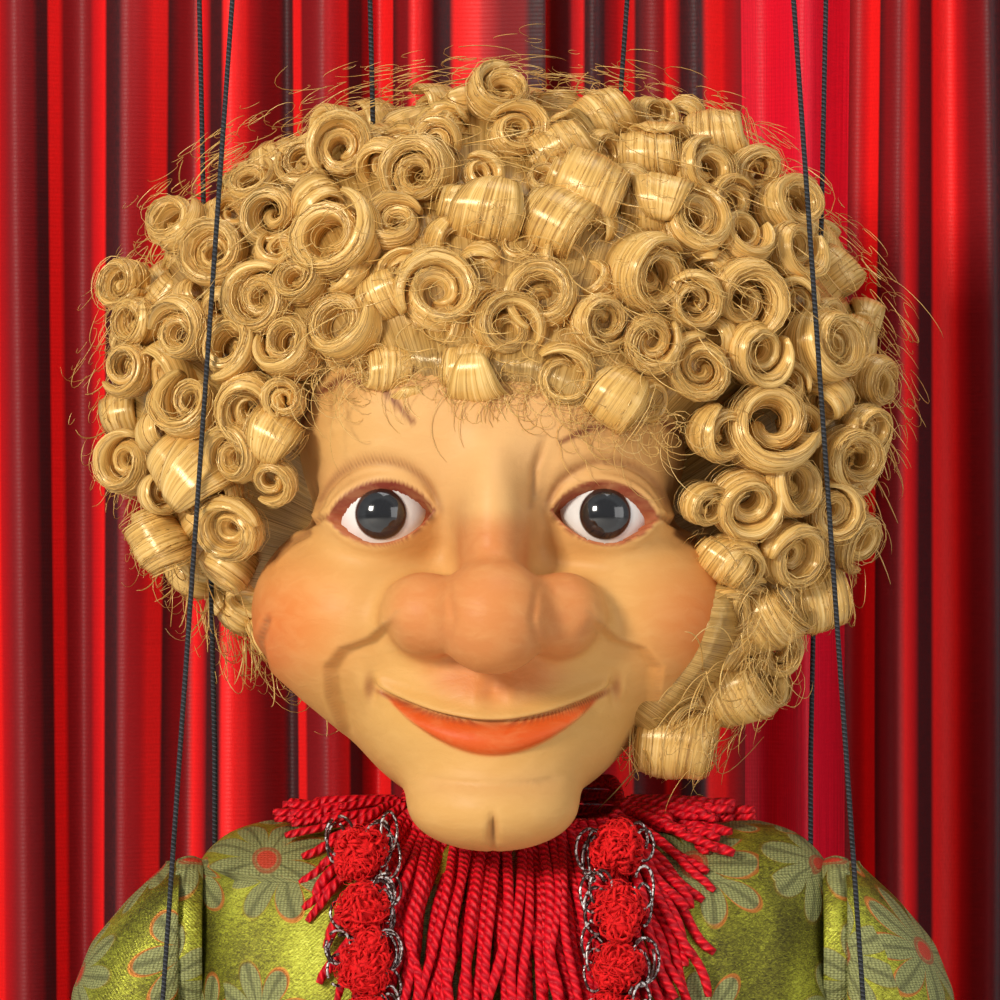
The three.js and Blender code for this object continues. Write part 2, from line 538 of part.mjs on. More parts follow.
function arms() {
  const lean = Math.atan2(foreArm.ahead, foreArm.length);
  const reach = Math.hypot(foreArm.ahead, foreArm.length);
  for (const [tag, side] of Object.entries(sides)) {
    const x = side * (shoulder.apart / 2);
    const out = side * upperArm.out;
    const r = upperArm.radius;
    const shaft = skinned([
      oval(-upperArm.head * 0.5, r * 0.6, r * 0.9, facets.limb),
      oval(-upperArm.head * 2, r, r, facets.limb, out * 0.1),
      oval(-upperArm.length * 0.6, r * 1.05, r * 1.1, facets.limb, out * 0.6),
      oval(-upperArm.length + foreArm.fork * 0.6, r, r, facets.limb, out),
    ]);
    const top = rodX(upperArm.head, upperArm.headWidth, facets.limb);
    const fork = placed(rodX(foreArm.fork, 2 * r, facets.limb), out, 0, -upperArm.length);
    const way = placed(block(foreArm.tongue + 2 * running, 4 * r, 2 * foreArm.fork + 2 * overrun), out, 0,
      -upperArm.length - overrun + running);
    const pin = placed(rodX(foreArm.pin, 2 * r * 0.9), out, 0, -upperArm.length);
    const limb = joined(cut(joined(shaft, top, fork), way, rodX(trunk.axle + running, 4 * r)), pin);
    node(`upper_arm_${tag}`, placed(limb, x, 0, shoulderHeight), "beech");

    const f = foreArm.radius;
    const lower = joined(
      tongue(foreArm.fork * 0.9, foreArm.tongue, foreArm.pin + running, foreArm.fork * 2.2),
      skinned([oval(-foreArm.fork * 1.5, f * 0.7, f * 0.7, facets.limb), oval(-foreArm.fork * 2.6, f, f, facets.limb),
        oval(-reach * 0.5, f * 1.1, f * 1.1, facets.limb),
        oval(-reach + foreArm.fork * 0.6, f * 0.85, f * 0.85, facets.limb)]),
    );
    const forearm = forked(lower, reach, foreArm.fork, 2 * f * 0.85, foreArm.tongue + 2 * running, foreArm.pin);
    node(`forearm_${tag}`, placed(forearm.rotateX(-lean), x + out, 0, elbowHeight), "beech");

    const palm = skinned([
      oval(-hand.root, hand.thick * 0.6, hand.palm * 0.45, facets.limb),
      oval(-hand.root * 1.4, hand.thick * 0.8, hand.palm * 0.7, facets.limb),
      oval(-hand.length * 0.36, hand.thick, hand.palm, facets.limb),
      oval(-hand.length * 0.56, hand.thick * 0.85, hand.palm, facets.limb),
      oval(-hand.length * 0.62, hand.thick * 0.5, hand.palm * 0.85, facets.limb),
    ]);
    const fingers = [0.9, 1, 0.97, 0.84].map((lengthShare, i) => {
      const y = (i - 1.5) * hand.finger * 1.95;
      return wire([at(0, y, -hand.length * 0.5), at(0, y * 1.05, -hand.length * 0.8),
        at(-side * hand.finger, y * 1.05, -hand.length * lengthShare)], hand.finger, 2, 4);
    });
    const thumb = wire([at(0, -hand.palm * 0.5, -hand.length * 0.28), at(0, -hand.thumbOut * 0.85, -hand.length * 0.45),
      at(0, -hand.thumbOut * 1.1, -hand.length * 0.7)], hand.thumb, 2, 5);
    const whole = joined(tongue(foreArm.fork * 0.9, foreArm.tongue, foreArm.pin + running, hand.root * 1.5), palm,
      ...fingers, thumb);
    node(`hand_${tag}`, placed(whole, x + out, -foreArm.ahead, wristHeight), "skin");
    sleeves(tag, side, x, out);
  }
}

// A sleeve of the jacket's cloth, flat against its shoulder, round the arm from the cap to the cuff.
// Rows: down the arm as a share of the way to the cuff, inner and outer edge and half depth as shares
const sleeveShares = [
  [-0.15, -1.6, -0.66, 0.5], [-0.115, -1.6, -0.42, 0.75], [-0.066, -1.6, 0.2, 0.92], [-0.005, -1.6, 0.8, 1],
  [0.066, -1.4, 1.12, 1], [0.19, -0.9, 1.18, 0.96], [0.33, -0.75, 1.24, 0.93], [0.54, -0.6, 1.4, 0.9],
  [0.77, -0.55, 1.4, 0.75], [1, -0.5, 1.35, 0.58],
];
function sleeves(tag, side, x, out) {
  const down = shoulderHeight - wristHeight - sleeve.cuff;
  const sway = (share) => (-foreArm.ahead * Math.max(0, share * down - upperArm.length)) / foreArm.length;
  const outer = skinned(
    sleeveShares.map(([share, from, to, deepShare]) =>
      oval(-share * down, (sleeve.halfWidth * (to - from)) / 2, sleeve.halfDepth * deepShare, 14,
        (side * sleeve.halfWidth * (to + from)) / 2, sway(share))),
  );
  const boreShares = [[-0.05, 0.66, 1, 0], [0.1, 0.85, 1, 0.1], [0.53, 1, 1, 1], [1.1, 1, 1, 1]];
  const bore = skinned(boreShares.map(([share, a, b, along]) =>
    oval(-share * down, sleeve.bore * a, sleeve.bore * b, facets.limb, out * along, sway(share))));
  const armhole = placed(block(4 * jacket.halfWidth, 8 * sleeve.halfDepth, 4 * down),
    side * (jacket.halfWidth + gap - 2 * jacket.halfWidth) - x, 0, 0);
  const axleWay = placed(rodX(trunk.axle + gap, 2 * sleeve.halfWidth), -side * sleeve.halfWidth, 0, 0);
  node(`sleeve_${tag}`, placed(largest(cut(outer, bore, armhole, axleWay)), x, 0, shoulderHeight), "brocade");
}

function legs() {
  for (const [tag, side] of Object.entries(sides)) {
    const x = side * (leg.apart / 2);
    const slot = leg.tongue + 2 * running;
    const upper = joined(
      tongue(leg.tongue * 1.25, leg.tongue, trunk.axle + running, thigh.top * 1.2),
      skinned([oval(-thigh.top, thigh.radius * 0.35, thigh.depth * 0.35, facets.limb),
        oval(-thigh.top * 1.3, thigh.radius * 0.65, thigh.depth * 0.65, facets.limb),
        oval(-thigh.top * 1.8, thigh.radius, thigh.depth, facets.limb),
        oval(-leg.thigh * 0.72, thigh.radius, thigh.depth, facets.limb),
        oval(-leg.thigh * 0.88, thigh.knee * 1.1, thigh.knee * 1.15, facets.limb),
        oval(-leg.thigh, thigh.knee, thigh.knee * 0.95, facets.limb)]),
    );
    node(`thigh_${tag}`, placed(forked(upper, leg.thigh, thigh.knee, 2 * thigh.knee * 0.9, slot, leg.pin), x, 0,
      hipHeight), "maroon");

    const calf = skinned([oval(-shin.clear, shin.radius, shin.radius, facets.limb),
      oval(-leg.shin * 0.4, shin.radius * 1.15, shin.radius * 1.25, facets.limb, 0, shin.radius * 0.15),
      oval(-leg.shin * 0.7, shin.radius * 0.85, shin.radius * 0.85, facets.limb),
      oval(-leg.shin + shin.foot, shin.radius * 0.75, shin.radius * 0.75, facets.limb)]);
    const ankle = placed(eyeEnd(leg.tongue, leg.tongue, leg.pin + running), 0, 0, -leg.shin);
    const ankleWeb = placed(block(leg.tongue, leg.tongue * 1.2, shin.foot), 0, 0,
      -leg.shin + leg.pin + running + gap + shin.foot / 2);
    const lower = joined(tongue(shin.tongue, leg.tongue, leg.pin + running, shin.clear * 1.2), calf, ankle, ankleWeb);
    node(`shin_${tag}`, placed(lower, x, 0, kneeHeight), "white");

    const sole = -leg.ankle;
    const middle = shoe.heel - shoe.length / 2;
    const a = shoe.width / 2;
    const b = shoe.length / 2;
    const upperShoe = skinned([oval(sole, a * 0.92, b * 0.96, 12, 0, middle, 2.3),
      oval(sole + shoe.sole, a, b, 12, 0, middle, 2.3),
      oval(sole + shoe.toe, a * 0.95, b * 0.95, 12, 0, middle * 0.95, 2.2),
      oval(sole + shoe.instep, a * 0.8, b * 0.66, 12, 0, middle * 0.35),
      oval(sole + shoe.instep + shoe.sole, a * 0.7, b * 0.42, 12, 0, 0)]);
    const ears = rodX(shoe.ear, slot + 2 * leg.ear, facets.limb);
    const way = placed(block(slot, 2.4 * shoe.ear, 4 * shoe.ear), 0, 0, shoe.ear);
    const whole = joined(cut(joined(upperShoe, ears), way), rodX(leg.pin, slot + leg.ear));
    node(`shoe_${tag}`, placed(whole, x, 0, ankleHeight), "leather");
  }
}

// The head's swellings in shares of faceHeight: centre, half sizes, and how softly each blends in
const swellingShares = [
  [0, 0.12, 1.08, 0.52, 0.6, 0.58, 0.1],
  [0.2, -0.24, 1.08, 0.27, 0.28, 0.27, 0.14],
  [0, -0.22, 1.06, 0.2, 0.29, 0.28, 0.14],
  [0.33, -0.19, 0.59, 0.28, 0.33, 0.25, 0.09],
  [0, -0.1, 0.48, 0.44, 0.42, 0.36, 0.12],
  [0, -0.28, 0.31, 0.29, 0.31, 0.22, 0.12],
  [0, -0.42, 0.105, 0.21, 0.18, 0.11, 0.1],
  [0.28, -0.35, 0.83, 0.17, 0.175, 0.14, 0.05],
  [0, -0.5, 0.8, 0.09, 0.16, 0.22, 0.09],
  [0.175, -0.57, 0.59, 0.105, 0.12, 0.105, 0.05],
  [0, -0.69, 0.585, 0.142, 0.15, 0.142, 0.045],
];
// The star centre from which the skin is drawn, how far out its search starts, and a place clear of the whole head
const starShares = { y: -0.05, z: 0.62, reach: 1.2, far: 10 };
const smooth = (a, b, k) => {
  const h = Math.min(1, Math.max(0, 0.5 + (0.5 * (b - a)) / k));
  return b + (a - b) * h - k * h * (1 - h);
};
function headField(x, y, z) {
  let field = starShares.far;
  for (const [cx, cy, cz, rx, ry, rz, blend] of swellingShares) {
    const q = [(Math.abs(x) - cx) / rx, (y - cy) / ry, (z - cz) / rz];
    const near = Math.hypot(...q);
    const slope = Math.hypot(q[0] / rx, q[1] / ry, q[2] / rz);
    field = smooth((near * (near - 1)) / Math.max(slope, 1e-6), field, blend);
  }
  return field;
}

// The carver's lines, also in shares: where they run, how deep and how broad they are
const foldShares = [[0.24, 0.6], [0.31, 0.535], [0.38, 0.51], [0.42, 0.46], [0.415, 0.38], [0.38, 0.28], [0.32, 0.18]];
const mouthShares = { height: 0.32, rise: 0.08, halfWidth: 0.295, lip: 0.082, proud: 0.024, groove: 0.02, line: 0.014 };
const chinShares = { crease: 0.162, deep: 0.012, broad: 0.014, dimple: 0.05, dimpleDeep: 0.022, dimpleBroad: 0.014 };
const philtrumShares = { height: 0.395, deep: 0.015, broad: 0.03, tall: 0.04 };
function alongLine(x, z, points) {
  let best = [starShares.far, 1, 0];
  for (let i = 0; i + 1 < points.length; i++) {
    const [[ax, az], [bx, bz]] = [points[i], points[i + 1]];
    const [ux, uz] = [bx - ax, bz - az];
    const t = Math.min(1, Math.max(0, ((x - ax) * ux + (z - az) * uz) / (ux * ux + uz * uz)));
    const [dx, dz] = [x - ax - t * ux, z - az - t * uz];
    if (Math.hypot(dx, dz) < best[0])
      best = [Math.hypot(dx, dz), Math.sign(ux * dz - uz * dx), (i + t) / (points.length - 1)];
  }
  return best;
}
const bell = (v, broad) => Math.exp(-((v / broad) ** 2));
function carving(x, z) {
  const m = Math.abs(x);
  const [far, side, along] = alongLine(m, z, foldShares);
  const ends = THREE.MathUtils.smoothstep(along, 0, 0.12) * (1 - THREE.MathUtils.smoothstep(along, 0.75, 1));
  let out = (side < 0 ? -0.03 * Math.exp(-far / 0.08) : 0.014 * Math.exp(-far / 0.06)) * ends;
  const mouth = mouthShares.height + mouthShares.rise * (m / mouthShares.halfWidth) ** 1.8;
  const within = 1 - THREE.MathUtils.smoothstep(m, mouthShares.halfWidth * 0.92, mouthShares.halfWidth * 1.05);
  const lip = Math.max(mouthShares.lip * (1 - (m / mouthShares.halfWidth) ** 2), 0.001);
  const down = Math.min(1, Math.max(0, (mouth - z) / lip));
  out += mouthShares.proud * Math.sin(Math.PI * down) * (1 - THREE.MathUtils.smoothstep(m, 0.2, 0.27));
  out -= mouthShares.groove * bell(z - mouth, mouthShares.line) * within;
  out -= philtrumShares.deep * bell(x, philtrumShares.broad) * bell(z - philtrumShares.height, philtrumShares.tall);
  const underLip = 1 - THREE.MathUtils.smoothstep(m, 0.13, 0.2);
  out -= chinShares.deep * bell(z - chinShares.crease, chinShares.broad) * underLip;
  const dimple = bell(x, chinShares.dimpleBroad) * bell(z - chinShares.dimple, 3 * chinShares.dimpleBroad);
  out -= chinShares.dimpleDeep * dimple;
  return out;
}

// The head's skin, seen from a star centre, its rings running back from the tip of the nose
function headSkin(grown, mesh = headMesh) {
  const rings = [];
  for (let j = 1; j < mesh.along; j++) {
    const t = j / mesh.along;
    const tilt = Math.PI * (0.55 * t + 0.45 * t * t);
    rings.push(
      Array.from({ length: mesh.around }, (_, i) => {
        const turn = (2 * Math.PI * i) / mesh.around;
        const [dx, dy, dz] = [Math.sin(tilt) * Math.cos(turn), -Math.cos(tilt), Math.sin(tilt) * Math.sin(turn)];
        let r = starShares.reach;
        for (let k = 0; k < 60; k++) r -= 0.7 * headField(r * dx, starShares.y + r * dy, starShares.z + r * dz);
        const front = 1 - THREE.MathUtils.smoothstep(starShares.y + r * dy, -0.26, -0.1);
        r += front * carving(r * dx, starShares.z + r * dz) + grown / faceHeight;
        return at(r * dx, starShares.y + r * dy, starShares.z + r * dz).multiplyScalar(faceHeight);
      }),
    );
  }
  return skinned(rings);
}

// The eye's opening: an almond, prism-cut from the front of the face to the eyeball behind it
function eyeWay(side) {
  const outline = Array.from({ length: 14 }, (_, i) => {
    const turn = (2 * Math.PI * i) / 14;
    const tall = Math.sin(turn) > 0 ? eye.above : eye.below;
    return [eye.halfWidth * Math.cos(turn), tall * Math.sign(Math.sin(turn)) * Math.abs(Math.sin(turn)) ** 1.25];
  });
  return placed(deep(outline, 2 * eye.depth), side * (eye.apart / 2), -2 * eye.depth, eye.height);
}

function head() {
  const place = (geometry) => placed(geometry, -headOffset, 0, chinHeight);
  const pivot = neckPivot - chinHeight;
  const bore = placed(rodZ(headBore.radius, pivot + headBore.above + overrun, facets.dome), headOffset, neckBehind,
    (pivot + headBore.above - overrun) / 2);
  const sockets = Object.values(sides).flatMap((side) => [
    placed(ball(eye.radius + 2 * gap, facets.ball), side * (eye.apart / 2), -eye.depth, eye.height),
    eyeWay(side),
  ]);
  const hollow = cut(headSkin(0), bore, ...sockets);
  const pin = placed(rodX(neck.pin, 2 * headBore.pinReach), headOffset, neckBehind, pivot);
  node("head", place(largest(joined(hollow, pin))), "skin");
  for (const [tag, side] of Object.entries(sides)) {
    const centre = [side * (eye.apart / 2), -eye.depth, eye.height];
    node(`eye_${tag}`, place(placed(ball(eye.radius, facets.ball), ...centre)), "white");
    const long = eye.radius + 2 * iris.proud;
    const front = placed(rodY(iris.radius, long, facets.iris), 0, -long / 2, 0);
    const shell = common(ball(eye.radius + gap + iris.proud, facets.dome), front);
    const dome = cut(shell, ball(eye.radius + gap, facets.dome));
    node(`iris_${tag}`, place(placed(dome, ...centre)), "dark");
  }
}

// The wig's curls in shares of faceHeight from the face's middle and the chin: place, half sizes, turn in degrees
const wigShares = [
  // the mass over the skull
  [0, 0.18, 1.2, 0.82, 0.68, 0.62, 0],
  // the front, from the fringe up to the top
  [-0.36, -0.42, 1.32, 0.14, 0.13, 0.13, 0], [-0.08, -0.46, 1.38, 0.17, 0.13, 0.14, 0],
  [0.2, -0.44, 1.34, 0.17, 0.15, 0.16, 0], [0.32, -0.46, 1.17, 0.16, 0.11, 0.11, -15],
  [-0.33, -0.28, 1.58, 0.2, 0.2, 0.18, 0], [0.02, -0.3, 1.66, 0.18, 0.18, 0.16, 0],
  [0.38, -0.33, 1.5, 0.17, 0.18, 0.17, 0], [-0.33, -0.1, 1.77, 0.15, 0.22, 0.13, 0],
  [0.02, -0.05, 1.86, 0.15, 0.22, 0.12, 0], [0.33, -0.1, 1.75, 0.15, 0.22, 0.15, 0],
  [0.6, -0.02, 1.67, 0.16, 0.24, 0.15, 0],
  // the left side
  [-0.6, -0.15, 1.58, 0.17, 0.25, 0.2, 0], [-0.8, 0, 1.48, 0.15, 0.25, 0.16, 0],
  [-0.62, -0.25, 1.3, 0.17, 0.22, 0.18, 0], [-0.86, -0.02, 1.28, 0.14, 0.22, 0.15, 0],
  [-0.67, -0.2, 1.05, 0.14, 0.2, 0.2, 0], [-0.89, -0.05, 1.1, 0.13, 0.2, 0.14, 0],
  [-0.72, -0.12, 0.86, 0.12, 0.18, 0.16, 0], [-0.9, -0.02, 0.93, 0.1, 0.15, 0.12, 0],
  // the right side, down behind the jaw
  [0.63, -0.25, 1.38, 0.16, 0.22, 0.16, 0], [0.78, -0.05, 1.52, 0.15, 0.25, 0.16, 0],
  [0.85, -0.1, 1.25, 0.15, 0.22, 0.15, 0], [0.7, -0.28, 1.07, 0.15, 0.18, 0.15, 0],
  [0.92, -0.05, 1, 0.12, 0.2, 0.14, 0], [0.72, -0.12, 0.85, 0.13, 0.2, 0.2, 0],
  [0.78, -0.05, 0.66, 0.12, 0.18, 0.18, 0], [0.66, 0, 0.46, 0.11, 0.16, 0.18, 10],
  [0.5, 0.06, 0.33, 0.1, 0.14, 0.14, 30],
  // the back
  [-0.4, 0.52, 1.45, 0.34, 0.3, 0.28, 0], [0.4, 0.52, 1.45, 0.34, 0.3, 0.28, 0],
  [-0.58, 0.44, 1.08, 0.24, 0.28, 0.3, 0], [0, 0.7, 1.1, 0.34, 0.2, 0.3, 0], [0.58, 0.44, 1.08, 0.24, 0.28, 0.3, 0],
  [-0.38, 0.48, 0.78, 0.24, 0.22, 0.26, 0], [0.02, 0.58, 0.76, 0.26, 0.2, 0.27, 0], [0.4, 0.48, 0.76, 0.22, 0.22, 0.28, 0],
];
function wig() {
  const lumps = wigShares.map(([x, y, z, a, b, c, turn], i) => {
    const lump = ball(1, i ? 6 : 10).scale(a * faceHeight, b * faceHeight, c * faceHeight);
    return placed(lump.rotateY(THREE.MathUtils.degToRad(turn)), x * faceHeight, y * faceHeight, z * faceHeight);
  });
  const hair = placed(cut(joined(...lumps), headSkin(wigOff, wigMesh)), -headOffset, 0, chinHeight);
  const ways = Object.values(strings).map((points) => wire(points.slice(0, 2), stringWay, 1, 6));
  node("wig", largest(cut(hair, ...ways)), "blond");
}

// Where the head's top lies at x and y, all from the face's middle and the chin
function headTop(x, y) {
  let z = starShares.z + starShares.reach;
  for (let k = 0; k < 60; k++) z -= 0.7 * headField(x / faceHeight, y / faceHeight, z);
  return z * faceHeight;
}

// The strings, each from the underside of its bar
const underBar = controlHeight - control.thick / 2 - 2 * gap - cross.thick;
const strings = Object.fromEntries(
  Object.entries(sides).flatMap(([tag, side]) => {
    const crownX = side * (crown.apart / 2);
    const shoulderTop = [side * shoulderString.x, shoulderString.y];
    return [
      [`head_string_${tag}`, [at(side * headBar.reach, headBar.behind, underBar),
        at(crownX - headOffset, crown.behind, chinHeight + headTop(crownX, crown.behind) + gap)]],
      [`shoulder_string_${tag}`, [at(side * shoulderBar.reach, shoulderBar.behind, underBar),
        at(...shoulderTop, jacketTop + shoulderString.into), at(...shoulderTop, shoulderHeight + 2 * trunk.axle)]],
      [`hand_string_${tag}`, [at(side * handBar.reach, -handBar.ahead, controlTop),
        at(side * (shoulder.apart / 2 + upperArm.out), -foreArm.ahead - hand.thumbOut,
          wristHeight - hand.length * handStringShare)]],
    ];
  }),
);
function stringing() {
  for (const [name, points] of Object.entries(strings)) {
    node(name, wire(points, stringRadius, 2 * points.length - 3, 6), "thread");
  }
}

baseBoard();
posts();
beamAndArm();
swivelHook();
curtains();
controls();
torso();
jacketAndTrims();
neckPeg();
arms();
legs();
head();
wig();
stringing();

part.updateMatrixWorld(true);
export default part;
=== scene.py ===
"""The marionette on its theatre stand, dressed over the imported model.

Lengths are millimetres until build() writes them as metres."""
import math

import bpy
import numpy as np
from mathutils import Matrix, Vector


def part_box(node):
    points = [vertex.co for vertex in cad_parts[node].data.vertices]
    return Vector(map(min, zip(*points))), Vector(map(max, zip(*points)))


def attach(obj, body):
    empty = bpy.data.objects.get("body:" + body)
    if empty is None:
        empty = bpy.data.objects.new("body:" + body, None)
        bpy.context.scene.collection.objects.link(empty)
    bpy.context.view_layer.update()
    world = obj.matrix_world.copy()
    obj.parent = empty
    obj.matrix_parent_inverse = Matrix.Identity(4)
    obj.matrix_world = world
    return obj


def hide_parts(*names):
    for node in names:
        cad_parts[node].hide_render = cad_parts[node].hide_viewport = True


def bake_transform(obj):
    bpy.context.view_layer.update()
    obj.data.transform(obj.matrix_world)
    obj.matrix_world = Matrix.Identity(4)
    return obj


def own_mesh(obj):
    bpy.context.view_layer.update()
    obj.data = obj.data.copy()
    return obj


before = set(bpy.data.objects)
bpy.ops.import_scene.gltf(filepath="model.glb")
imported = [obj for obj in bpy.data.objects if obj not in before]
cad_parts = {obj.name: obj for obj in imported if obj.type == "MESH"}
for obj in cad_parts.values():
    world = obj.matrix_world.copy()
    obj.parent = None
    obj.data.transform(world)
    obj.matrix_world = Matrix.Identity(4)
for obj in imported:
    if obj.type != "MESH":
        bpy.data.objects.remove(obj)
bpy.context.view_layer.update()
MM = 0.001
SIDES = {"left": -1, "right": 1}

# Places that the model fixes, in millimetres
PUPPET_Y = -25
CHIN = 420
FACE_X = -5
FACE = 100
NECK_Y = -21
PIVOT = {"shoulder": 394, "elbow": 296, "wrist": 209, "hip": 236, "knee": 145, "ankle": 62}
RAIL_Z = 762
CURTAIN_Y = 110
JACKET_TOP = 426

# The photograph: a pixel is a quarter of a millimetre on the face, and it is taken level from the front
PIXELS_ACROSS = 1000
PIXEL = 0.25
CHIN_PIXEL = (513, 850)
CAMERA_FROM = 2400
FACE_PLANE = -70
SENSOR = 36


def photo(px, py):
    """Where a pixel of the photograph lies on the plane of the face: x and z in millimetres."""
    return (px - CHIN_PIXEL[0]) * PIXEL, CHIN + (CHIN_PIXEL[1] - py) * PIXEL


def camera():
    """Level with the photograph's middle, its lens as long as the sensor is wide times distance over view."""
    x, z = photo(PIXELS_ACROSS / 2, PIXELS_ACROSS / 2)
    data = bpy.data.cameras.new("camera")
    data.sensor_width = SENSOR
    data.lens = SENSOR * CAMERA_FROM / (PIXELS_ACROSS * PIXEL)
    data.clip_end = 20
    eye = bpy.data.objects.new("camera", data)
    eye.location = (x * MM, (FACE_PLANE - CAMERA_FROM) * MM, z * MM)
    eye.rotation_euler = (math.pi / 2, 0, 0)
    bpy.context.scene.collection.objects.link(eye)
    bpy.context.scene.camera = eye


# The pale room, and its lamps: name, place, aim, width in metres, watts and colour
BACKDROP = (0.86, 0.86, 0.85)
ROOM_LIGHT = (0.95, 0.96, 1)
ROOM_STRENGTH = 0.36
WARM = (1, 0.94, 0.84)
SOFT = (1, 0.98, 0.96)
LAMPS = (
    ("key", (-1.15, -1.75, 1.15), (0, -0.03, 0.5), 0.42, 40, WARM),
    ("fill", (1.6, -1.5, 0.7), (0, 0, 0.5), 1.2, 9, SOFT),
    ("top", (0.2, -0.2, 2.1), (0, 0, 0.4), 1, 9, SOFT),
)


def lights():
    """A key from the left front, a dim fill from the right and one from above, in a pale room."""
    bpy.context.scene.view_settings.view_transform = "Standard"
    world = bpy.data.worlds.new("room")
    bpy.context.scene.world = world
    world.use_nodes = True
    nodes, links = world.node_tree.nodes, world.node_tree.links
    room = nodes["Background"]
    room.inputs["Color"].default_value = (*ROOM_LIGHT, 1)
    room.inputs["Strength"].default_value = ROOM_STRENGTH
    seen = nodes.new("ShaderNodeBackground")
    path = nodes.new("ShaderNodeLightPath")
    both = nodes.new("ShaderNodeMixShader")
    seen.inputs["Color"].default_value = (*BACKDROP, 1)
    seen.inputs["Strength"].default_value = 1
    links.new(path.outputs["Is Camera Ray"], both.inputs[0])
    links.new(room.outputs[0], both.inputs[1])
    links.new(seen.outputs[0], both.inputs[2])
    links.new(both.outputs[0], nodes["World Output"].inputs["Surface"])
    for name, spot, aim, size, power, colour in LAMPS:
        data = bpy.data.lights.new(name, "AREA")
        data.size = size
        data.energy = power
        data.color = colour
        lamp = bpy.data.objects.new(name, data)
        lamp.location = spot
        away = np.array(spot) - np.array(aim)
        flat = math.hypot(away[0], away[1])
        lamp.rotation_euler = (math.atan2(flat, away[2]), 0, math.atan2(away[0], -away[1]))
        bpy.context.scene.collection.objects.link(lamp)


class Finish:
    """A material and the nodes that feed its shader."""

    def __init__(self, name, **shader):
        self.material = bpy.data.materials.new(name)
        self.material.use_nodes = True
        self.tree = self.material.node_tree
        self.shader = self.tree.nodes["Principled BSDF"]
        self.feed(self.shader, {key.replace("_", " "): value for key, value in shader.items()})

    def put(self, socket, value):
        """Link a value that is a socket, or set it; a colour gets its alpha."""
        if isinstance(value, bpy.types.NodeSocket):
            self.tree.links.new(value, socket)
        elif isinstance(value, (tuple, list)) and len(value) == 3 and socket.type == "RGBA":
            socket.default_value = (*value, 1)
        else:
            socket.default_value = value

    def feed(self, node, values):
        """Put values into a node's inputs by name or number."""
        for key, value in values.items():
            self.put(node.inputs[key], value)

    def node(self, kind, inputs=(), **settings):
        """A new shader node with its settings and inputs."""
        made = self.tree.nodes.new("ShaderNode" + kind)
        for key, value in settings.items():
            setattr(made, key, value)
        self.feed(made, dict(inputs))
        return made

    def place(self, source="Object", scale=(1, 1, 1)):
        """Coordinates from the object or from the UV map, stretched."""
        out = self.node("TexCoord").outputs[source]
        return self.node("Mapping", {"Vector": out, "Scale": scale}).outputs["Vector"]

    def parts(self, source="UV"):
        """The coordinates one by one: U or X, then V or Y."""
        return self.node("SeparateXYZ", {"Vector": self.place(source)}).outputs

    def noise(self, vector, scale=1, detail=3, rough=0.55, warp=0):
        """A cloudy field from 0 to 1."""
        values = {"Vector": vector, "Scale": scale, "Detail": detail, "Roughness": rough, "Distortion": warp}
        return self.node("TexNoise", values).outputs["Fac"]

    def waves(self, vector, scale, warp, detail=2.0, way="X"):
        """Bands across one direction, from 0 to 1."""
        values = {"Vector": vector, "Scale": scale, "Distortion": warp, "Detail": detail}
        return self.node("TexWave", values, bands_direction=way).outputs["Fac"]

    def cells(self, vector, scale=1.0, random=1.0, flat="2D"):
        """The outputs of a pattern of cells, each round its own point."""
        values = {"Vector": vector, "Scale": scale, "Randomness": random}
        return self.node("TexVoronoi", values, voronoi_dimensions=flat).outputs

    def ramp(self, factor, stops, ease="LINEAR"):
        """Colours or shades along a factor; a stop is (place, colour or grey)."""
        made = self.node("ValToRGB", {"Fac": factor})
        made.color_ramp.interpolation = ease
        band = made.color_ramp.elements
        while len(band) < len(stops):
            band.new(0.5)
        for one, (spot, colour) in zip(band, stops):
            one.position = spot
            grey = not isinstance(colour, (tuple, list))
            one.color = (colour, colour, colour, 1) if grey else (*colour, 1)
        return made.outputs["Color"]

    def mix(self, factor, a, b, way="MIX"):
        """One colour over another by a factor."""
        return self.node("Mix", {0: factor, 6: a, 7: b}, data_type="RGBA", blend_type=way).outputs[2]

    def sum(self, way, a, b=0.0, c=0.0):
        """One step of arithmetic on sockets or numbers."""
        return self.node("Math", {0: a, 1: b, 2: c}, operation=way).outputs[0]

    def bump(self, height, deep, strength=1.0, under=None):
        """A normal from a height; deep is in millimetres."""
        values = {"Height": height, "Distance": deep * MM, "Strength": strength}
        if under is not None:
            values["Normal"] = under
        return self.node("Bump", values).outputs["Normal"]

    def shade(self, **values):
        """Feed the shader, whose inputs are named with underscores, and give the material back."""
        self.feed(self.shader, {key.replace("_", " "): value for key, value in values.items()})
        return self.material


WIDE_CAP = 60


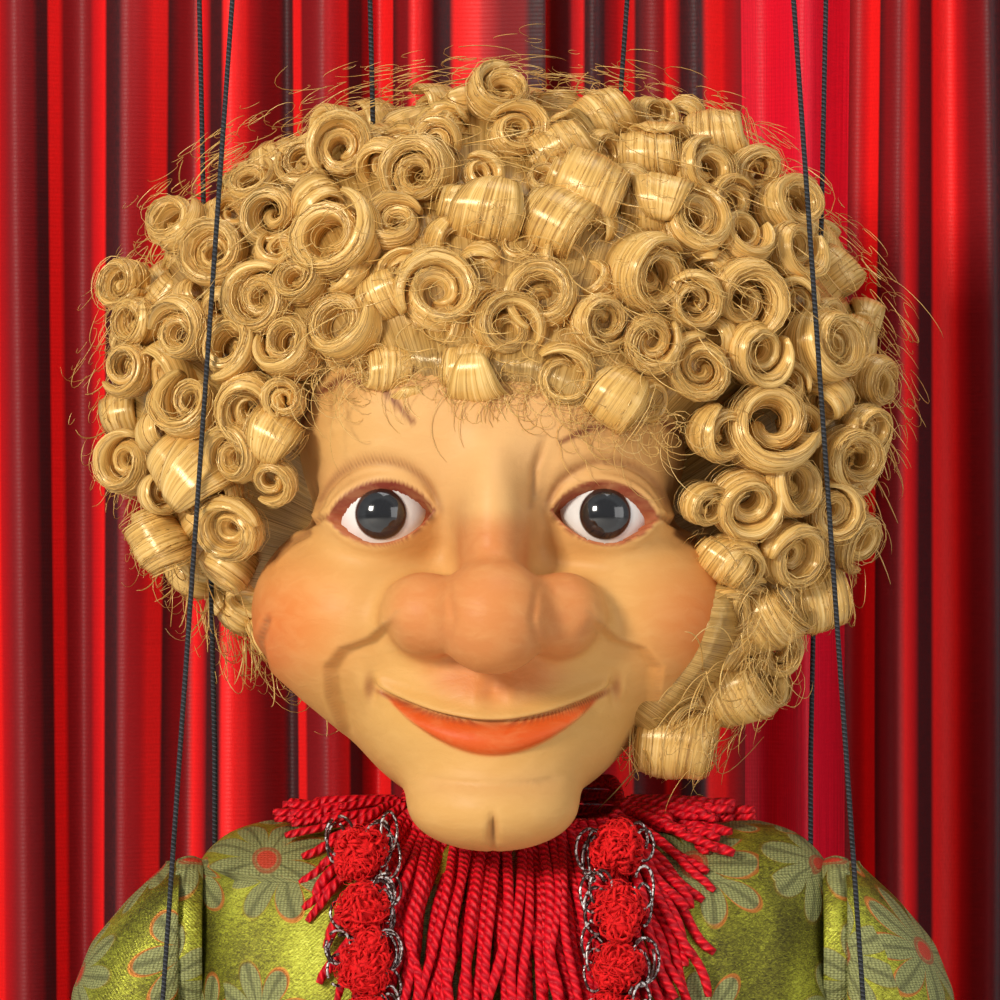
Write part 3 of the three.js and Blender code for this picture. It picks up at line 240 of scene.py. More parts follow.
def build(name, skin, finish, body, tints=None, stands_for=None):
    """One closed mesh on its body, turned outward, from a skin: points in millimetres, arrays of faces and,
    if it has them, UVs."""
    points, faces, uv = (*skin, None)[:3]
    points = np.asarray(points, float)
    faces = [np.asarray(f) for f in faces]
    if volume(points, faces) < 0:
        faces = [f[:, ::-1] for f in faces]
        if uv is not None:
            uv = turned_back(faces, uv)
    mesh = bpy.data.meshes.new(name)
    corners = np.concatenate([f.ravel() for f in faces]).astype(np.int32)
    sizes = np.concatenate([np.full(len(f), f.shape[1]) for f in faces])
    mesh.vertices.add(len(points))
    mesh.vertices.foreach_set("co", (points * MM).astype(np.float32).ravel())
    mesh.loops.add(len(corners))
    mesh.loops.foreach_set("vertex_index", corners)
    mesh.polygons.add(len(sizes))
    mesh.polygons.foreach_set("loop_start", np.concatenate([[0], np.cumsum(sizes)[:-1]]).astype(np.int32))
    mesh.polygons.foreach_set("use_smooth", np.full(len(sizes), True))
    if uv is not None:
        layer = mesh.uv_layers.new(name="weave")
        layer.data.foreach_set("uv", np.asarray(uv, np.float32).ravel())
    if tints is not None:
        layer = mesh.color_attributes.new("paint", "FLOAT_COLOR", "POINT")
        full = np.concatenate([tints, np.ones((len(tints), 1))], 1)
        layer.data.foreach_set("color", full.astype(np.float32).ravel())
    mesh.update(calc_edges=True)
    mesh.validate()
    mesh.materials.append(finish)
    piece = bpy.data.objects.new(name, mesh)
    bpy.context.scene.collection.objects.link(piece)
    if body:
        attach(piece, body)
    if stands_for:
        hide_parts(stands_for)
    return piece


def volume(points, faces):
    """Six times the volume that faces enclose, below zero where they point inward; a wide cap counts as one
    triangle."""
    total = 0
    for f in faces:
        corners = f.shape[1]
        for k in range(1, corners - 1) if corners < WIDE_CAP else (corners // 3,):
            total += (np.cross(points[f[:, k]], points[f[:, k + 1]]) * points[f[:, 0]]).sum()
    return total


def turned_back(faces, uv):
    """The corners' UVs in the order of faces whose corners have been reversed."""
    out, used = [], 0
    for f in faces:
        out.append(np.asarray(uv)[used:used + f.size].reshape(f.shape + (2,))[:, ::-1].reshape(-1, 2))
        used += f.size
    return np.concatenate(out)


def weave(rows, columns):
    """Quads of a grid whose columns close on themselves, with each corner's row and column."""
    r, c = np.meshgrid(np.arange(rows - 1), np.arange(columns), indexing="ij")
    r, c = r.ravel(), c.ravel()
    across = np.stack([c, c + 1, c + 1, c], 1)
    down = np.stack([r, r, r + 1, r + 1], 1)
    return down * columns + across % columns, down, across


def rolled(rings):
    """A skin over rings (rows, columns, 3), closed by a face at either end: points, faces, and each corner's
    row and column."""
    rows, columns = rings.shape[:2]
    quads, down, across = weave(rows, columns)
    faces, rs, cs = [quads], [down.ravel()], [across.ravel()]
    ring = np.arange(columns)
    for row, order in ((0, ring[::-1]), (rows - 1, ring)):
        faces.append((row * columns + order)[None])
        rs.append(np.full(columns, row))
        cs.append(order)
    return rings.reshape(-1, 3), faces, np.concatenate(rs), np.concatenate(cs)


def rejoined(rings):
    """A skin over rings whose last one runs on into the first, as on a hollow band: the same four things."""
    rows, columns = rings.shape[:2]
    quads, down, across = weave(rows, columns)
    last = (rows - 1) * columns
    closing, _, round_again = weave(2, columns)
    closing = np.where(closing >= columns, closing - columns, closing + last)
    row = np.concatenate([down.ravel(), np.zeros(closing.size, int)])
    column = np.concatenate([across.ravel(), round_again.ravel()])
    return rings.reshape(-1, 3), [quads, closing], row, column


def woven(skin, across, down, turned=False):
    """A skin whose UV is its column times one step and its row times another, or the other way round."""
    points, faces, row, column = skin
    uv = [column * across, row * down]
    return points, faces, np.stack(uv[::-1] if turned else uv, 1)


def circle(count, shift=0):
    """Even turns round a ring in radians, from a share of one step on."""
    return 2 * np.pi * (np.arange(count) + shift) / count


def latitudes(count):
    """Even tilts from pole to pole, each end half a step in."""
    return np.pi * (np.arange(count) + 0.5) / count


def run_of(points):
    """How far along a line each of its points is, from 0."""
    return np.concatenate([[0], np.cumsum(np.linalg.norm(np.diff(points, axis=0), axis=1))])


def squared(wave, power):
    """A sine or cosine drawn out, so that a ring of them is a superellipse |x|^power + |y|^power = 1."""
    return np.sign(wave) * np.abs(wave) ** (2 / power)


def directions(tilt, turn):
    """Unit vectors (tilts, turns, 3) at a tilt from the way towards the audience and a turn round it."""
    return np.stack([np.sin(tilt)[:, None] * np.cos(turn), -np.cos(tilt)[:, None] + 0 * turn,
                     np.sin(tilt)[:, None] * np.sin(turn)], 2)


def tubes(paths, radii, sides=6, mark=0.0):
    """Closed tubes along paths (tubes, steps, 3): points, faces and UV, with U the way along and V the way
    round plus each tube's own mark, so that no two look alike. The section is carried along the path with
    its first way across kept square to the path."""
    paths = np.asarray(paths, float)
    count, steps = paths.shape[:2]
    radii = np.broadcast_to(np.asarray(radii, float), (count, steps))
    along = np.gradient(paths, axis=1)
    along /= np.linalg.norm(along, axis=2, keepdims=True) + 1e-12
    now = np.cross(along[:, 0], (0.31, 0.52, 0.79))
    across = np.empty_like(paths)
    for k in range(steps):
        now = now - (now * along[:, k]).sum(1, keepdims=True) * along[:, k]
        now /= np.linalg.norm(now, axis=1, keepdims=True) + 1e-12
        across[:, k] = now
    other = np.cross(along, across)
    turn = circle(sides)[None, None]
    points = paths[:, :, None] + radii[..., None, None] * (
        np.cos(turn)[..., None] * across[:, :, None] + np.sin(turn)[..., None] * other[:, :, None])
    stretches = np.linalg.norm(np.diff(paths, axis=1), axis=2)
    run = np.concatenate([np.zeros((count, 1)), np.cumsum(stretches, 1)], 1)
    quads, down, across_column = weave(steps, sides)
    starts = (np.arange(count) * steps * sides)[:, None, None]
    ring = np.arange(sides)
    first = (starts + ring[::-1]).reshape(count, sides)
    last = (starts + (steps - 1) * sides + ring).reshape(count, sides)
    ends = [np.repeat(run[:, 0], sides), np.repeat(run[:, -1], sides)]
    u = np.concatenate([run[:, down.ravel()].ravel(), *ends])
    mark = np.broadcast_to(mark, count)[:, None]
    columns = (across_column.ravel(), ring[::-1], ring)
    v = np.concatenate([(part[None] / sides + mark).ravel() for part in columns])
    faces = [(starts + quads[None]).reshape(-1, 4), first, last]
    return points.reshape(-1, 3), faces, np.stack([u, v], 1)


def cloth_area(grid):
    """The area in square millimetres of a grid of points (rows, columns, 3), by its triangles."""
    total = 0
    b, c = grid[1:, :-1], grid[:-1, 1:]
    for a in (grid[:-1, :-1], grid[1:, 1:]):
        total += np.linalg.norm(np.cross(b - a, c - a), axis=2).sum() / 2
    return float(total)


def gathered(parts):
    """Several (points, faces, uv) joined into one."""
    points, faces, uvs, start = [], {}, {}, 0
    for p, fs, uv in parts:
        used = 0
        for f in fs:
            f = np.asarray(f)
            faces.setdefault(f.shape[1], []).append(f + start)
            uvs.setdefault(f.shape[1], []).append(uv[used:used + f.size])
            used += f.size
        points.append(p)
        start += len(p)
    order = sorted(faces)
    return (np.concatenate(points), [np.concatenate(faces[k]) for k in order],
            np.concatenate([np.concatenate(uvs[k]) for k in order]))


def ease(low, high, value):
    """From 0 at low to 1 at high, level at both."""
    t = np.clip((value - low) / (high - low), 0, 1)
    return t * t * (3 - 2 * t)


def bell(value, broad):
    """1 at 0, falling as exp(-(value / broad)^2)."""
    return np.exp(-((value / broad) ** 2))


# Strings: a dark twisted thread in stretches, cut where it passes from one body to the next
STRING = 0.65
TWISTS = 0.9
CUT = {"neck": 640, "shoulder": 420, "elbow": 300}


def thread_finish():
    """Black thread, with a painted highlight on the backs of its twist and painted shade in its grooves."""
    f = Finish("twisted_thread", Roughness=0.6)
    along, around = f.parts()[:2]
    wind = f.sum("ADD", f.sum("MULTIPLY", along, TWISTS), around)
    twist = f.sum("SINE", f.sum("MULTIPLY", wind, 2 * math.pi))
    # Paler on the twist's crests and darker in its grooves: painted highlight and painted shade
    shade = f.ramp(f.sum("MULTIPLY_ADD", twist, 0.5, 0.5),
                   [(0.2, (0.006, 0.007, 0.009)), (0.9, (0.05, 0.055, 0.065))])
    return f.shade(Base_Color=shade, Normal=f.bump(twist, 0.3))


def strings():
    """Each string is a taut line through its route, cut into stretches where another body takes it over."""
    finish = thread_finish()
    for tag, side in SIDES.items():
        low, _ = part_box(f"head_string_{tag}")
        routes = {
            "head": [(side * 40, -17, 788.9), (side * 30 + FACE_X, -21, low[2] / MM)],
            "shoulder": [(side * 84, 9, 788.9), (side * 76, -21, 442), (side * 76, -21, 399)],
            "hand": [(side * 58, -63, 810.5), (side * 101, -63, 192.7)],
        }
        upper, fore, hand = f"upper_arm_{tag}", f"forearm_{tag}", f"hand_{tag}"
        cuts = {
            "head": [(CUT["neck"], "marionette", "neck"), (None, "neck", "head")],
            "shoulder": [(None, "marionette", None)],
            "hand": [(CUT["neck"], "hand_bar", "marionette"), (CUT["shoulder"], "marionette", upper),
                     (CUT["elbow"], upper, fore), (None, fore, hand)],
        }
        for kind, route in routes.items():
            route = np.array(route, float)
            top = route[0, 2]
            for number, (bottom, a, b) in enumerate(cuts[kind], 1):
                bottom = route[-1, 2] if bottom is None else bottom
                inside = [z for z in route[:, 2] if bottom < z < top]
                levels = np.array(sorted(set(np.linspace(bottom, top, 25)) | set(inside), reverse=True))
                x, y = (np.interp(levels, route[::-1, 2], route[::-1, k]) for k in (0, 1))
                path = np.stack([x, y, levels], 1)
                name, body = f"{kind}_string_{tag}", None if b else a
                piece = build(f"{name}_{number}", tubes(path[None], STRING, 8), finish, body,
                              stands_for=name if number == 1 else None)
                if b:
                    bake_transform(piece)
                length = float(np.linalg.norm(np.diff(path, axis=0), axis=1).sum()) * MM
                top = bottom


# The head's swellings as the model has them, in shares of the face's height: middle, half axes, softness
SWELLING_SHARES = [
    (0, 0.12, 1.08, 0.52, 0.6, 0.58, 0.1),
    (0.2, -0.24, 1.08, 0.27, 0.28, 0.27, 0.14),
    (0, -0.22, 1.06, 0.2, 0.29, 0.28, 0.14),
    (0.33, -0.19, 0.59, 0.28, 0.33, 0.25, 0.09),
    (0, -0.1, 0.48, 0.44, 0.42, 0.36, 0.12),
    (0, -0.28, 0.31, 0.29, 0.31, 0.22, 0.12),
    (0, -0.42, 0.105, 0.21, 0.18, 0.11, 0.1),
    (0.28, -0.35, 0.83, 0.17, 0.175, 0.14, 0.05),
    (0, -0.5, 0.8, 0.09, 0.16, 0.22, 0.09),
    (0.175, -0.57, 0.59, 0.105, 0.12, 0.105, 0.07),
    (0, -0.69, 0.585, 0.142, 0.15, 0.142, 0.075),
]
# The point inside the head that its rings look out from, in the same shares, and where the chin is
STAR = np.array([0, -0.05, 0.62])
HEAD_AT = np.array([FACE_X, PUPPET_Y, CHIN])

# Places on the face, in millimetres across from its middle line and up from the chin
EYE = {"apart": 28, "z": 84, "depth": 36, "radius": 13, "wide": 12.9, "above": 7.6, "below": 7.2}
FOLD = [(24, 60), (31, 53.5), (38, 51), (42, 46), (41.5, 38), (38, 28), (32, 18)]
BROWS = {
    "left": [(-49, 104), (-46, 113), (-37, 118), (-28, 116), (-20, 107)],
    "right": [(17, 102), (23, 105), (32, 107), (41, 108), (47, 104), (50, 99)],
}
# Laughter lines beside each eye and down each cheek: line, depth and breadth
WRINKLES = [
    ([(41, 83.5), (47, 81), (55, 79.5)], 1.4, 0.75),
    ([(45, 80), (51, 77), (57, 71)], 1.1, 0.85),
    ([(56, 59), (58.5, 52), (57, 43), (53, 37)], 1.3, 0.85),
]
FROWN = [(9.5, 86), (10.5, 96), (14, 106)]
NOSE_SIDE = [(11, 66), (9.8, 58), (12, 50)]
MOUTH_HALF = 27.5
CHIN_LINE = 16.2


def field(p):
    """The head's smooth union of ellipsoids, below zero inside: d = |q|(|q| - 1)/|q/r| for each, joined by a
    polynomial smooth minimum."""
    x, y, z = np.abs(p[..., 0]), p[..., 1], p[..., 2]
    total = None
    for cx, cy, cz, rx, ry, rz, soft in SWELLING_SHARES:
        q = [(x - cx) / rx, (y - cy) / ry, (z - cz) / rz]
        near = np.sqrt(q[0] ** 2 + q[1] ** 2 + q[2] ** 2)
        slope = np.sqrt((q[0] / rx) ** 2 + (q[1] / ry) ** 2 + (q[2] / rz) ** 2)
        one = near * (near - 1) / np.maximum(slope, 1e-6)
        if total is None:
            total = one
        else:
            h = np.clip(0.5 + 0.5 * (total - one) / soft, 0, 1)
            total = total + (one - total) * h - soft * h * (1 - h)
    return total


def along_line(x, z, line):
    """Distance to a polyline, the side it is on, and the share of the way along."""
    best, side, way = np.full(x.shape, 1e9), np.zeros(x.shape), np.zeros(x.shape)
    for i, ((ax, az), (bx, bz)) in enumerate(zip(line[:-1], line[1:])):
        ux, uz = bx - ax, bz - az
        t = np.clip(((x - ax) * ux + (z - az) * uz) / (ux * ux + uz * uz), 0, 1)
        dx, dz = x - ax - t * ux, z - az - t * uz
        d = np.hypot(dx, dz)
        nearer = d < best
        best = np.where(nearer, d, best)
        side = np.where(nearer, np.sign(ux * dz - uz * dx), side)
        way = np.where(nearer, (i + t) / (len(line) - 1), way)
    return best, side, way


def star_reach(way, rounds):
    """How far the skin is from STAR along unit vectors: each round, r loses 0.75 of the field there."""
    r = np.full(way.shape[:-1], 1.2)
    for _ in range(rounds):
        r = r - 0.75 * field(STAR + r[..., None] * way)
    return r


def mouth_height(x):
    """The line between the lips, which rises to both corners as |x|^1.8."""
    return 32 + 8 * (np.abs(x) / 29.5) ** 1.8


def opening(x, z):
    """Millimetres inside the almond of the nearer eye, negative outside."""
    u = (np.abs(x) - EYE["apart"]) / EYE["wide"]
    v = z - EYE["z"] + 0.8 * u
    room = np.clip(1 - u * u, 0, None)
    inside = np.minimum(EYE["above"] * room ** 0.75 - v, v + EYE["below"] * room ** 0.85)
    return np.where(np.abs(u) < 1, inside, -np.hypot((np.abs(u) - 1) * EYE["wide"], v))


def opening_slope(x, z, step=0.4):
    """How fast the eye's opening changes along x and along z, by differences over a short step."""
    ex = (opening(x + step, z) - opening(x - step, z)) / (2 * step)
    ez = (opening(x, z + step) - opening(x, z - step)) / (2 * step)
    return ex, ez


def lid_crease(m, z):
    """Millimetres outside the fold above the eye, an ellipse of about 14 mm radius."""
    return (np.hypot((m - 28.5) / 15.5, (z - 82.5) / 14.8) - 1) * 14


def lip_depth(m, tall):
    """How far the lower lip hangs below the mouth's line: a parabola to its corners."""
    return np.maximum(tall * (1 - (m / MOUTH_HALF) ** 2), 0.05)


def carved(x, z):
    """The carver's work on the front of the face, outward in millimetres at (x, z) from the chin: each mark
    is a bell across a line or round a point, faded out at the line's ends by ease."""
    m = np.abs(x)
    # The eyes' rims and the creases over them
    e = opening(x, z)
    out = 0.8 * bell(e + 1.5, 1.2) * (e > -6)
    crease = lid_crease(m, z)
    over = ease(80, 87, z) * ease(16, 20, m + 4)
    out -= 1.5 * bell(crease, 0.85) * over
    out += 0.9 * bell(crease - 2.3, 2.1) * over
    # The cheeks' folds, cut back on the side of the mouth
    far, side, way = along_line(m, z, FOLD)
    ends = ease(0, 0.12, way) * (1 - ease(0.72, 1, way))
    inner = side < 0
    out -= np.where(inner, 2.9 * np.exp(-far / 9) * ease(0, 1.8, far), 0) * ends
    out += np.where(inner, 1.1 * bell(far, 1.3), 1.1 * np.exp(-far / 7)) * ends
    # The lips, the line between them and the dimples at its corners
    zm = mouth_height(x)
    within = 1 - ease(27, 31, m)
    low = np.clip((zm - z) / lip_depth(m, 8.2), 0, 1)
    out += 2.5 * np.sin(np.pi * low) * (1 - ease(20, MOUTH_HALF, m))
    out += 1.3 * bell(z - zm - 1.9, 1.5) * within
    out -= 2.2 * bell(z - zm, 0.8) * within
    out -= 1.3 * bell(m - 30.6, 1.1) * bell(z - 40, 3)
    out += 0.8 * bell(m - 33.2, 1.5) * bell(z - 40, 4)
    # The groove under the nose, the chin's crease and its cleft
    out -= 1.7 * bell(x, 2.2) * bell(z - 39.5, 3.7)
    out += 0.6 * bell(m - 4.6, 1.8) * bell(z - 39.5, 4.2)
    out -= 1.3 * bell(z - CHIN_LINE - 0.004 * x * x, 1) * (1 - ease(13, 19, m))
    out -= 2.4 * bell(x, 0.9) * bell(z - 5, 3.8)
    for line, deep, broad in WRINKLES:
        far, _, way = along_line(m, z, line)
        for share, shift in ((-1, 0), (0.4, 2)):
            mark = share * deep * bell(far - shift * broad, broad)
            out += mark * ease(0, 0.15, way) * (1 - ease(0.8, 1, way))
    far, _, way = along_line(x, z, FROWN)
    out -= 1.8 * bell(far, 1) * (1 - ease(0.6, 1, way)) * ease(0, 0.2, way)
    far, _, way = along_line(m, z, NOSE_SIDE)
    out -= 0.8 * bell(far, 1)
    return out


def head_paint(x, y, z, front):
    """Colours of the painted skin, linear: ochre flesh, rouge, orange nose and lips, red-brown brows and
    rims, and painted shade in creases, hollows and slits. Each coat covers what is under it by its share."""
    m = np.abs(x)
    paint = np.tile(np.array([0.66, 0.36, 0.11]), (len(x), 1))

    def lay(colour, share):
        """paint (1 - share) + colour share"""
        nonlocal paint
        share = np.clip(share, 0, 1)[:, None]
        paint = paint * (1 - share) + np.array(colour) * share

    # Forehead, round the mouth, two coats of rouge, the nose, painted shade beside it and under the brows,
    # the chin
    lay((0.74, 0.42, 0.17), 0.9 * bell(x, 30) * bell(z - 100, 24))
    lay((0.66, 0.36, 0.1), 0.9 * bell(m - 20, 20) * bell(z - 38, 16))
    lay((0.7, 0.19, 0.04), 0.84 * bell(m - 52, 15) * bell(z - 57, 16))
    lay((0.66, 0.14, 0.03), 0.7 * bell(m - 60, 8) * bell(z - 47, 15))
    nose = 1 - ease(19, 27, np.hypot(x / 1.15, z - 60))
    lay((0.62, 0.22, 0.065), 0.94 * nose * (1 - ease(-56, -47, y)))
    lay((0.5, 0.24, 0.09), 0.45 * bell(m - 9, 5) * bell(z - 80, 9))
    lay((0.6, 0.3, 0.12), 0.35 * bell(m - 38, 12) * bell(z - 92, 6))
    lay((0.66, 0.36, 0.14), 0.5 * bell(z - 16.5, 3) * (1 - ease(13, 22, m)))
    # The lower lip, and painted shade along the mouth's line and in its corners
    zm = mouth_height(x)
    inside = ease(-0.7, 0.5, zm - z) * ease(-0.9, 0.6, lip_depth(m, 8) - (zm - z))
    inside = inside * (1 - ease(24.5, MOUTH_HALF, m))
    lay((0.66, 0.09, 0.012), front * inside)
    lay((0.3, 0.045, 0.018), front * 0.85 * bell(z - zm, 0.75) * (1 - ease(27, 31.5, m)))
    lay((0.36, 0.13, 0.05), front * 0.7 * bell(m - 31, 1.1) * bell(z - 40.5, 3))
    # Painted shade in folds and lid creases, the eyes' red rims, and painted shade in their inner corners
    far, side, way = along_line(m, z, FOLD)
    shadow = bell(far + np.where(side < 0, 0, 1), 1.0)
    lay((0.46, 0.22, 0.08), front * 0.4 * shadow * (1 - ease(0.7, 1, way)))
    lay((0.33, 0.14, 0.05), front * 0.85 * bell(lid_crease(m, z), 0.9) * ease(82, 88, z))
    e = opening(x, z)
    lay((0.2, 0.03, 0.014), front * ease(-1.25, -0.5, e) * ease(-8, 2, z - EYE["z"] + 6))
    lay((0.5, 0.13, 0.05), front * 0.75 * ease(-1.0, -0.3, e) * (1 - ease(-3, 2, z - EYE["z"])))
    lay((0.1, 0.02, 0.012), front * 0.7 * bell(np.hypot(m - 15.4, z - 83), 1))
    for line in BROWS.values():
        far, _, way = along_line(x, z, line)
        lay((0.16, 0.03, 0.014), front * 0.92 * (1 - ease(0.4, 1.5, far + 1.3 * np.abs(way - 0.5) ** 2)))
    # Painted shade in the laughter lines, the frown and the chin's cleft
    for line, _, _ in WRINKLES:
        far, _, way = along_line(m, z, line)
        lay((0.3, 0.11, 0.04), front * 0.7 * bell(far, 0.8) * ease(0, 0.1, way) * (1 - ease(0.85, 1, way)))
    far, _, way = along_line(x, z, FROWN)
    lay((0.33, 0.15, 0.05), front * 0.55 * bell(far, 0.9) * (1 - ease(0.6, 1, way)))
    lay((0.3, 0.12, 0.05), front * 0.6 * bell(x, 1) * bell(z - 5, 3.5))
    return paint


def head_finish():
    """The paint, worn in clouds and streaked by the brush, on slightly rolling wood."""
    f = Finish("painted_head")
    paint = f.node("VertexColor", layer_name="paint").outputs["Color"]
    spot = f.place("Object")
    brush = f.noise(f.place("Object", (1, 1, 2.2)), 130, 4, 0.6, 0.5)
    grain = f.noise(spot, 900, 2)
    cloud = f.noise(spot, 28, 3)
    worn = f.mix(f.ramp(cloud, [(0.35, 0.0), (0.75, 0.14)]), paint, (0.58, 0.24, 0.05))
    streaked = f.mix(f.ramp(brush, [(0.42, 0.0), (0.8, 0.2)]), worn, (0.84, 0.52, 0.2))
    rough = f.ramp(brush, [(0.2, 0.4), (0.8, 0.58)])
    rolling = f.bump(cloud, 0.5, 0.5)
    fine = f.bump(grain, 0.06, 0.8, f.bump(brush, 0.26, 0.9, rolling))
    return f.shade(Base_Color=streaked, Roughness=rough, Normal=fine, Specular_IOR_Level=0.22)


def head():
    """r along rays from STAR to the field's zero, plus the carving; rings run back from the nose's tip,
    closer in front. Points near an eye's rim are drawn onto it, and those within it sink behind the glass."""
    across, front_rings, back_rings, change = 368, 218, 32, 0.56
    fine, coarse = np.linspace(0.004, change, front_rings), np.linspace(change, 0.996, back_rings + 1)
    way = directions(np.pi * np.concatenate([fine, coarse[1:]]), circle(across))
    p = (STAR + star_reach(way, 46)[..., None] * way) * FACE
    front = 1 - ease(-26, -10, p[..., 1])
    out = carved(p[..., 0], p[..., 2]) * front
    p = p + way * out[..., None]
    for _ in range(3):
        e = opening(p[..., 0], p[..., 2])
        ex, ez = opening_slope(p[..., 0], p[..., 2])
        steep = np.maximum(ex ** 2 + ez ** 2, 0.2)
        near = (np.abs(e) < 0.42) * (front > 0.5)
        p[..., 0] -= near * e * ex / steep * 0.8
        p[..., 2] -= near * e * ez / steep * 0.8
    e = opening(p[..., 0], p[..., 2])
    sink = ease(0.1, 0.42, e) * (front > 0.5)
    p = p - way * (8.5 * sink)[..., None]
    tints = head_paint(*p.reshape(-1, 3).T, front.ravel())
    build("painted_face", rolled(p + HEAD_AT)[:2], head_finish(), "head", tints, "head")


def eye_finish():
    """Glazed white, faintly clouded."""
    f = Finish("eyeball", Coat_Weight=0.7, Coat_Roughness=0.06)
    spot = f.place("Object")
    tone = f.ramp(f.noise(spot, 180, 3), [(0.3, (0.74, 0.72, 0.68)), (0.8, (0.86, 0.85, 0.82))])
    return f.shade(Base_Color=tone, Roughness=0.28)


def iris_finish():
    """Rings of colour out from the pupil by V, with fine rays."""
    f = Finish("iris", Coat_Weight=1.0, Coat_Roughness=0.02)
    radial = f.noise(f.place("UV", (30, 1.5, 1)), 1, 3)
    ring = f.ramp(f.parts()[1], [
        (0.0, (0.002, 0.002, 0.003)), (0.5, (0.003, 0.003, 0.004)), (0.6, (0.018, 0.02, 0.022)),
        (0.8, (0.012, 0.012, 0.013)), (0.88, (0.03, 0.012, 0.007)), (1.0, (0.006, 0.004, 0.004))])
    tone = f.mix(f.ramp(radial, [(0.45, 0.0), (0.9, 0.3)]), ring, (0.03, 0.032, 0.034), "ADD")
    return f.shade(Base_Color=tone, Roughness=0.12, Normal=f.bump(radial, 0.05, 0.4))


def ball(centre, radius, around=64, rows=40):
    """A sphere by latitude rings: its middle plus the radius along every direction."""
    return rolled(np.array(centre) + directions(latitudes(rows), circle(around)) * radius)


def eyes():
    """Glass balls, each with an iris whose front bulges by a share of sqrt(1 - r^2) over the ball."""
    white, dark = eye_finish(), iris_finish()
    for tag, side in SIDES.items():
        centre = np.array([side * EYE["apart"] + FACE_X, PUPPET_Y - EYE["depth"], CHIN + EYE["z"]])
        skin = ball(centre, EYE["radius"])[:2]
        build(f"glass_eye_{tag}", skin, white, "head", stands_for=f"eye_{tag}")
        rows, around, wide = 26, 72, 6.5
        share = np.arange(1, rows + 1) / rows
        turn = circle(around)
        reach = np.concatenate([share, share[::-1] * 0.98])
        bulge = np.concatenate([EYE["radius"] + 0.25 + 1.5 * np.sqrt(np.clip(1 - share ** 2, 0, 1)),
                                np.full(rows, EYE["radius"] + 0.12)])
        flat = reach * wide
        forward = np.sqrt(np.clip(EYE["radius"] ** 2 - flat ** 2, 0, None)) + bulge - EYE["radius"]
        rings = np.stack([centre[0] + flat[:, None] * np.cos(turn), centre[1] - forward[:, None] + 0 * turn,
                          centre[2] + flat[:, None] * np.sin(turn)], 2)
        points, faces, row, column = rolled(rings)
        depth = np.minimum(row, 2 * rows - 1 - row) / rows
        uv = np.stack([column / around, depth], 1)
        build(f"glass_iris_{tag}", (points, faces, uv), dark, "head", stands_for=f"iris_{tag}")


# The jacket's level rings as the model has them: share of its length down, half width, half depth, set-back
JACKET_SHARES = [
    (0, 0.76, 0.2, 0.16), (0.01, 0.92, 0.36, 0.13), (0.03, 0.975, 0.52, 0.1), (0.06, 0.995, 0.66, 0.06),
    (0.13, 1, 0.84, 0.02), (0.26, 0.97, 0.96, 0), (0.42, 0.88, 0.94, 0), (0.59, 0.82, 0.9, 0),
    (0.8, 0.87, 1, 0), (1, 0.96, 1.14, 0),
]
JACKET = {"wide": 84, "deep": 46, "long": 214, "power": 2.8}
COLLAR = {"wide": 31, "deep": 23}


def jacket_ring(down):
    """Half width, half depth and set-back of the jacket in millimetres at a share of its length."""
    rows = np.array(JACKET_SHARES)
    a, b, back = (np.interp(down, rows[:, 0], rows[:, k]) for k in (1, 2, 3))
    return a * JACKET["wide"], b * JACKET["deep"], back * JACKET["deep"]


def jacket_front(x, z):
    """The world Y of the jacket's front at x and z."""
    a, b, back = jacket_ring(np.clip((JACKET_TOP - z) / JACKET["long"], 0, 1))
    power = JACKET["power"]
    reach = np.clip(1 - np.abs(x / a) ** power, 0, 1) ** (1 / power)
    return PUPPET_Y + back - b * reach


def jacket_top(x, y):
    """The height of the jacket's top over (x, y): where the level superellipse passes through it."""
    downs = np.linspace(0, 0.5, 120)
    a, b, back = jacket_ring(downs)
    power = JACKET["power"]
    x, y = np.asarray(x)[..., None], np.asarray(y)[..., None] - PUPPET_Y
    outside = np.abs(x / a) ** power + np.abs((y - back) / b) ** power > 1
    return JACKET_TOP - JACKET["long"] * downs[np.argmin(outside, axis=-1)]


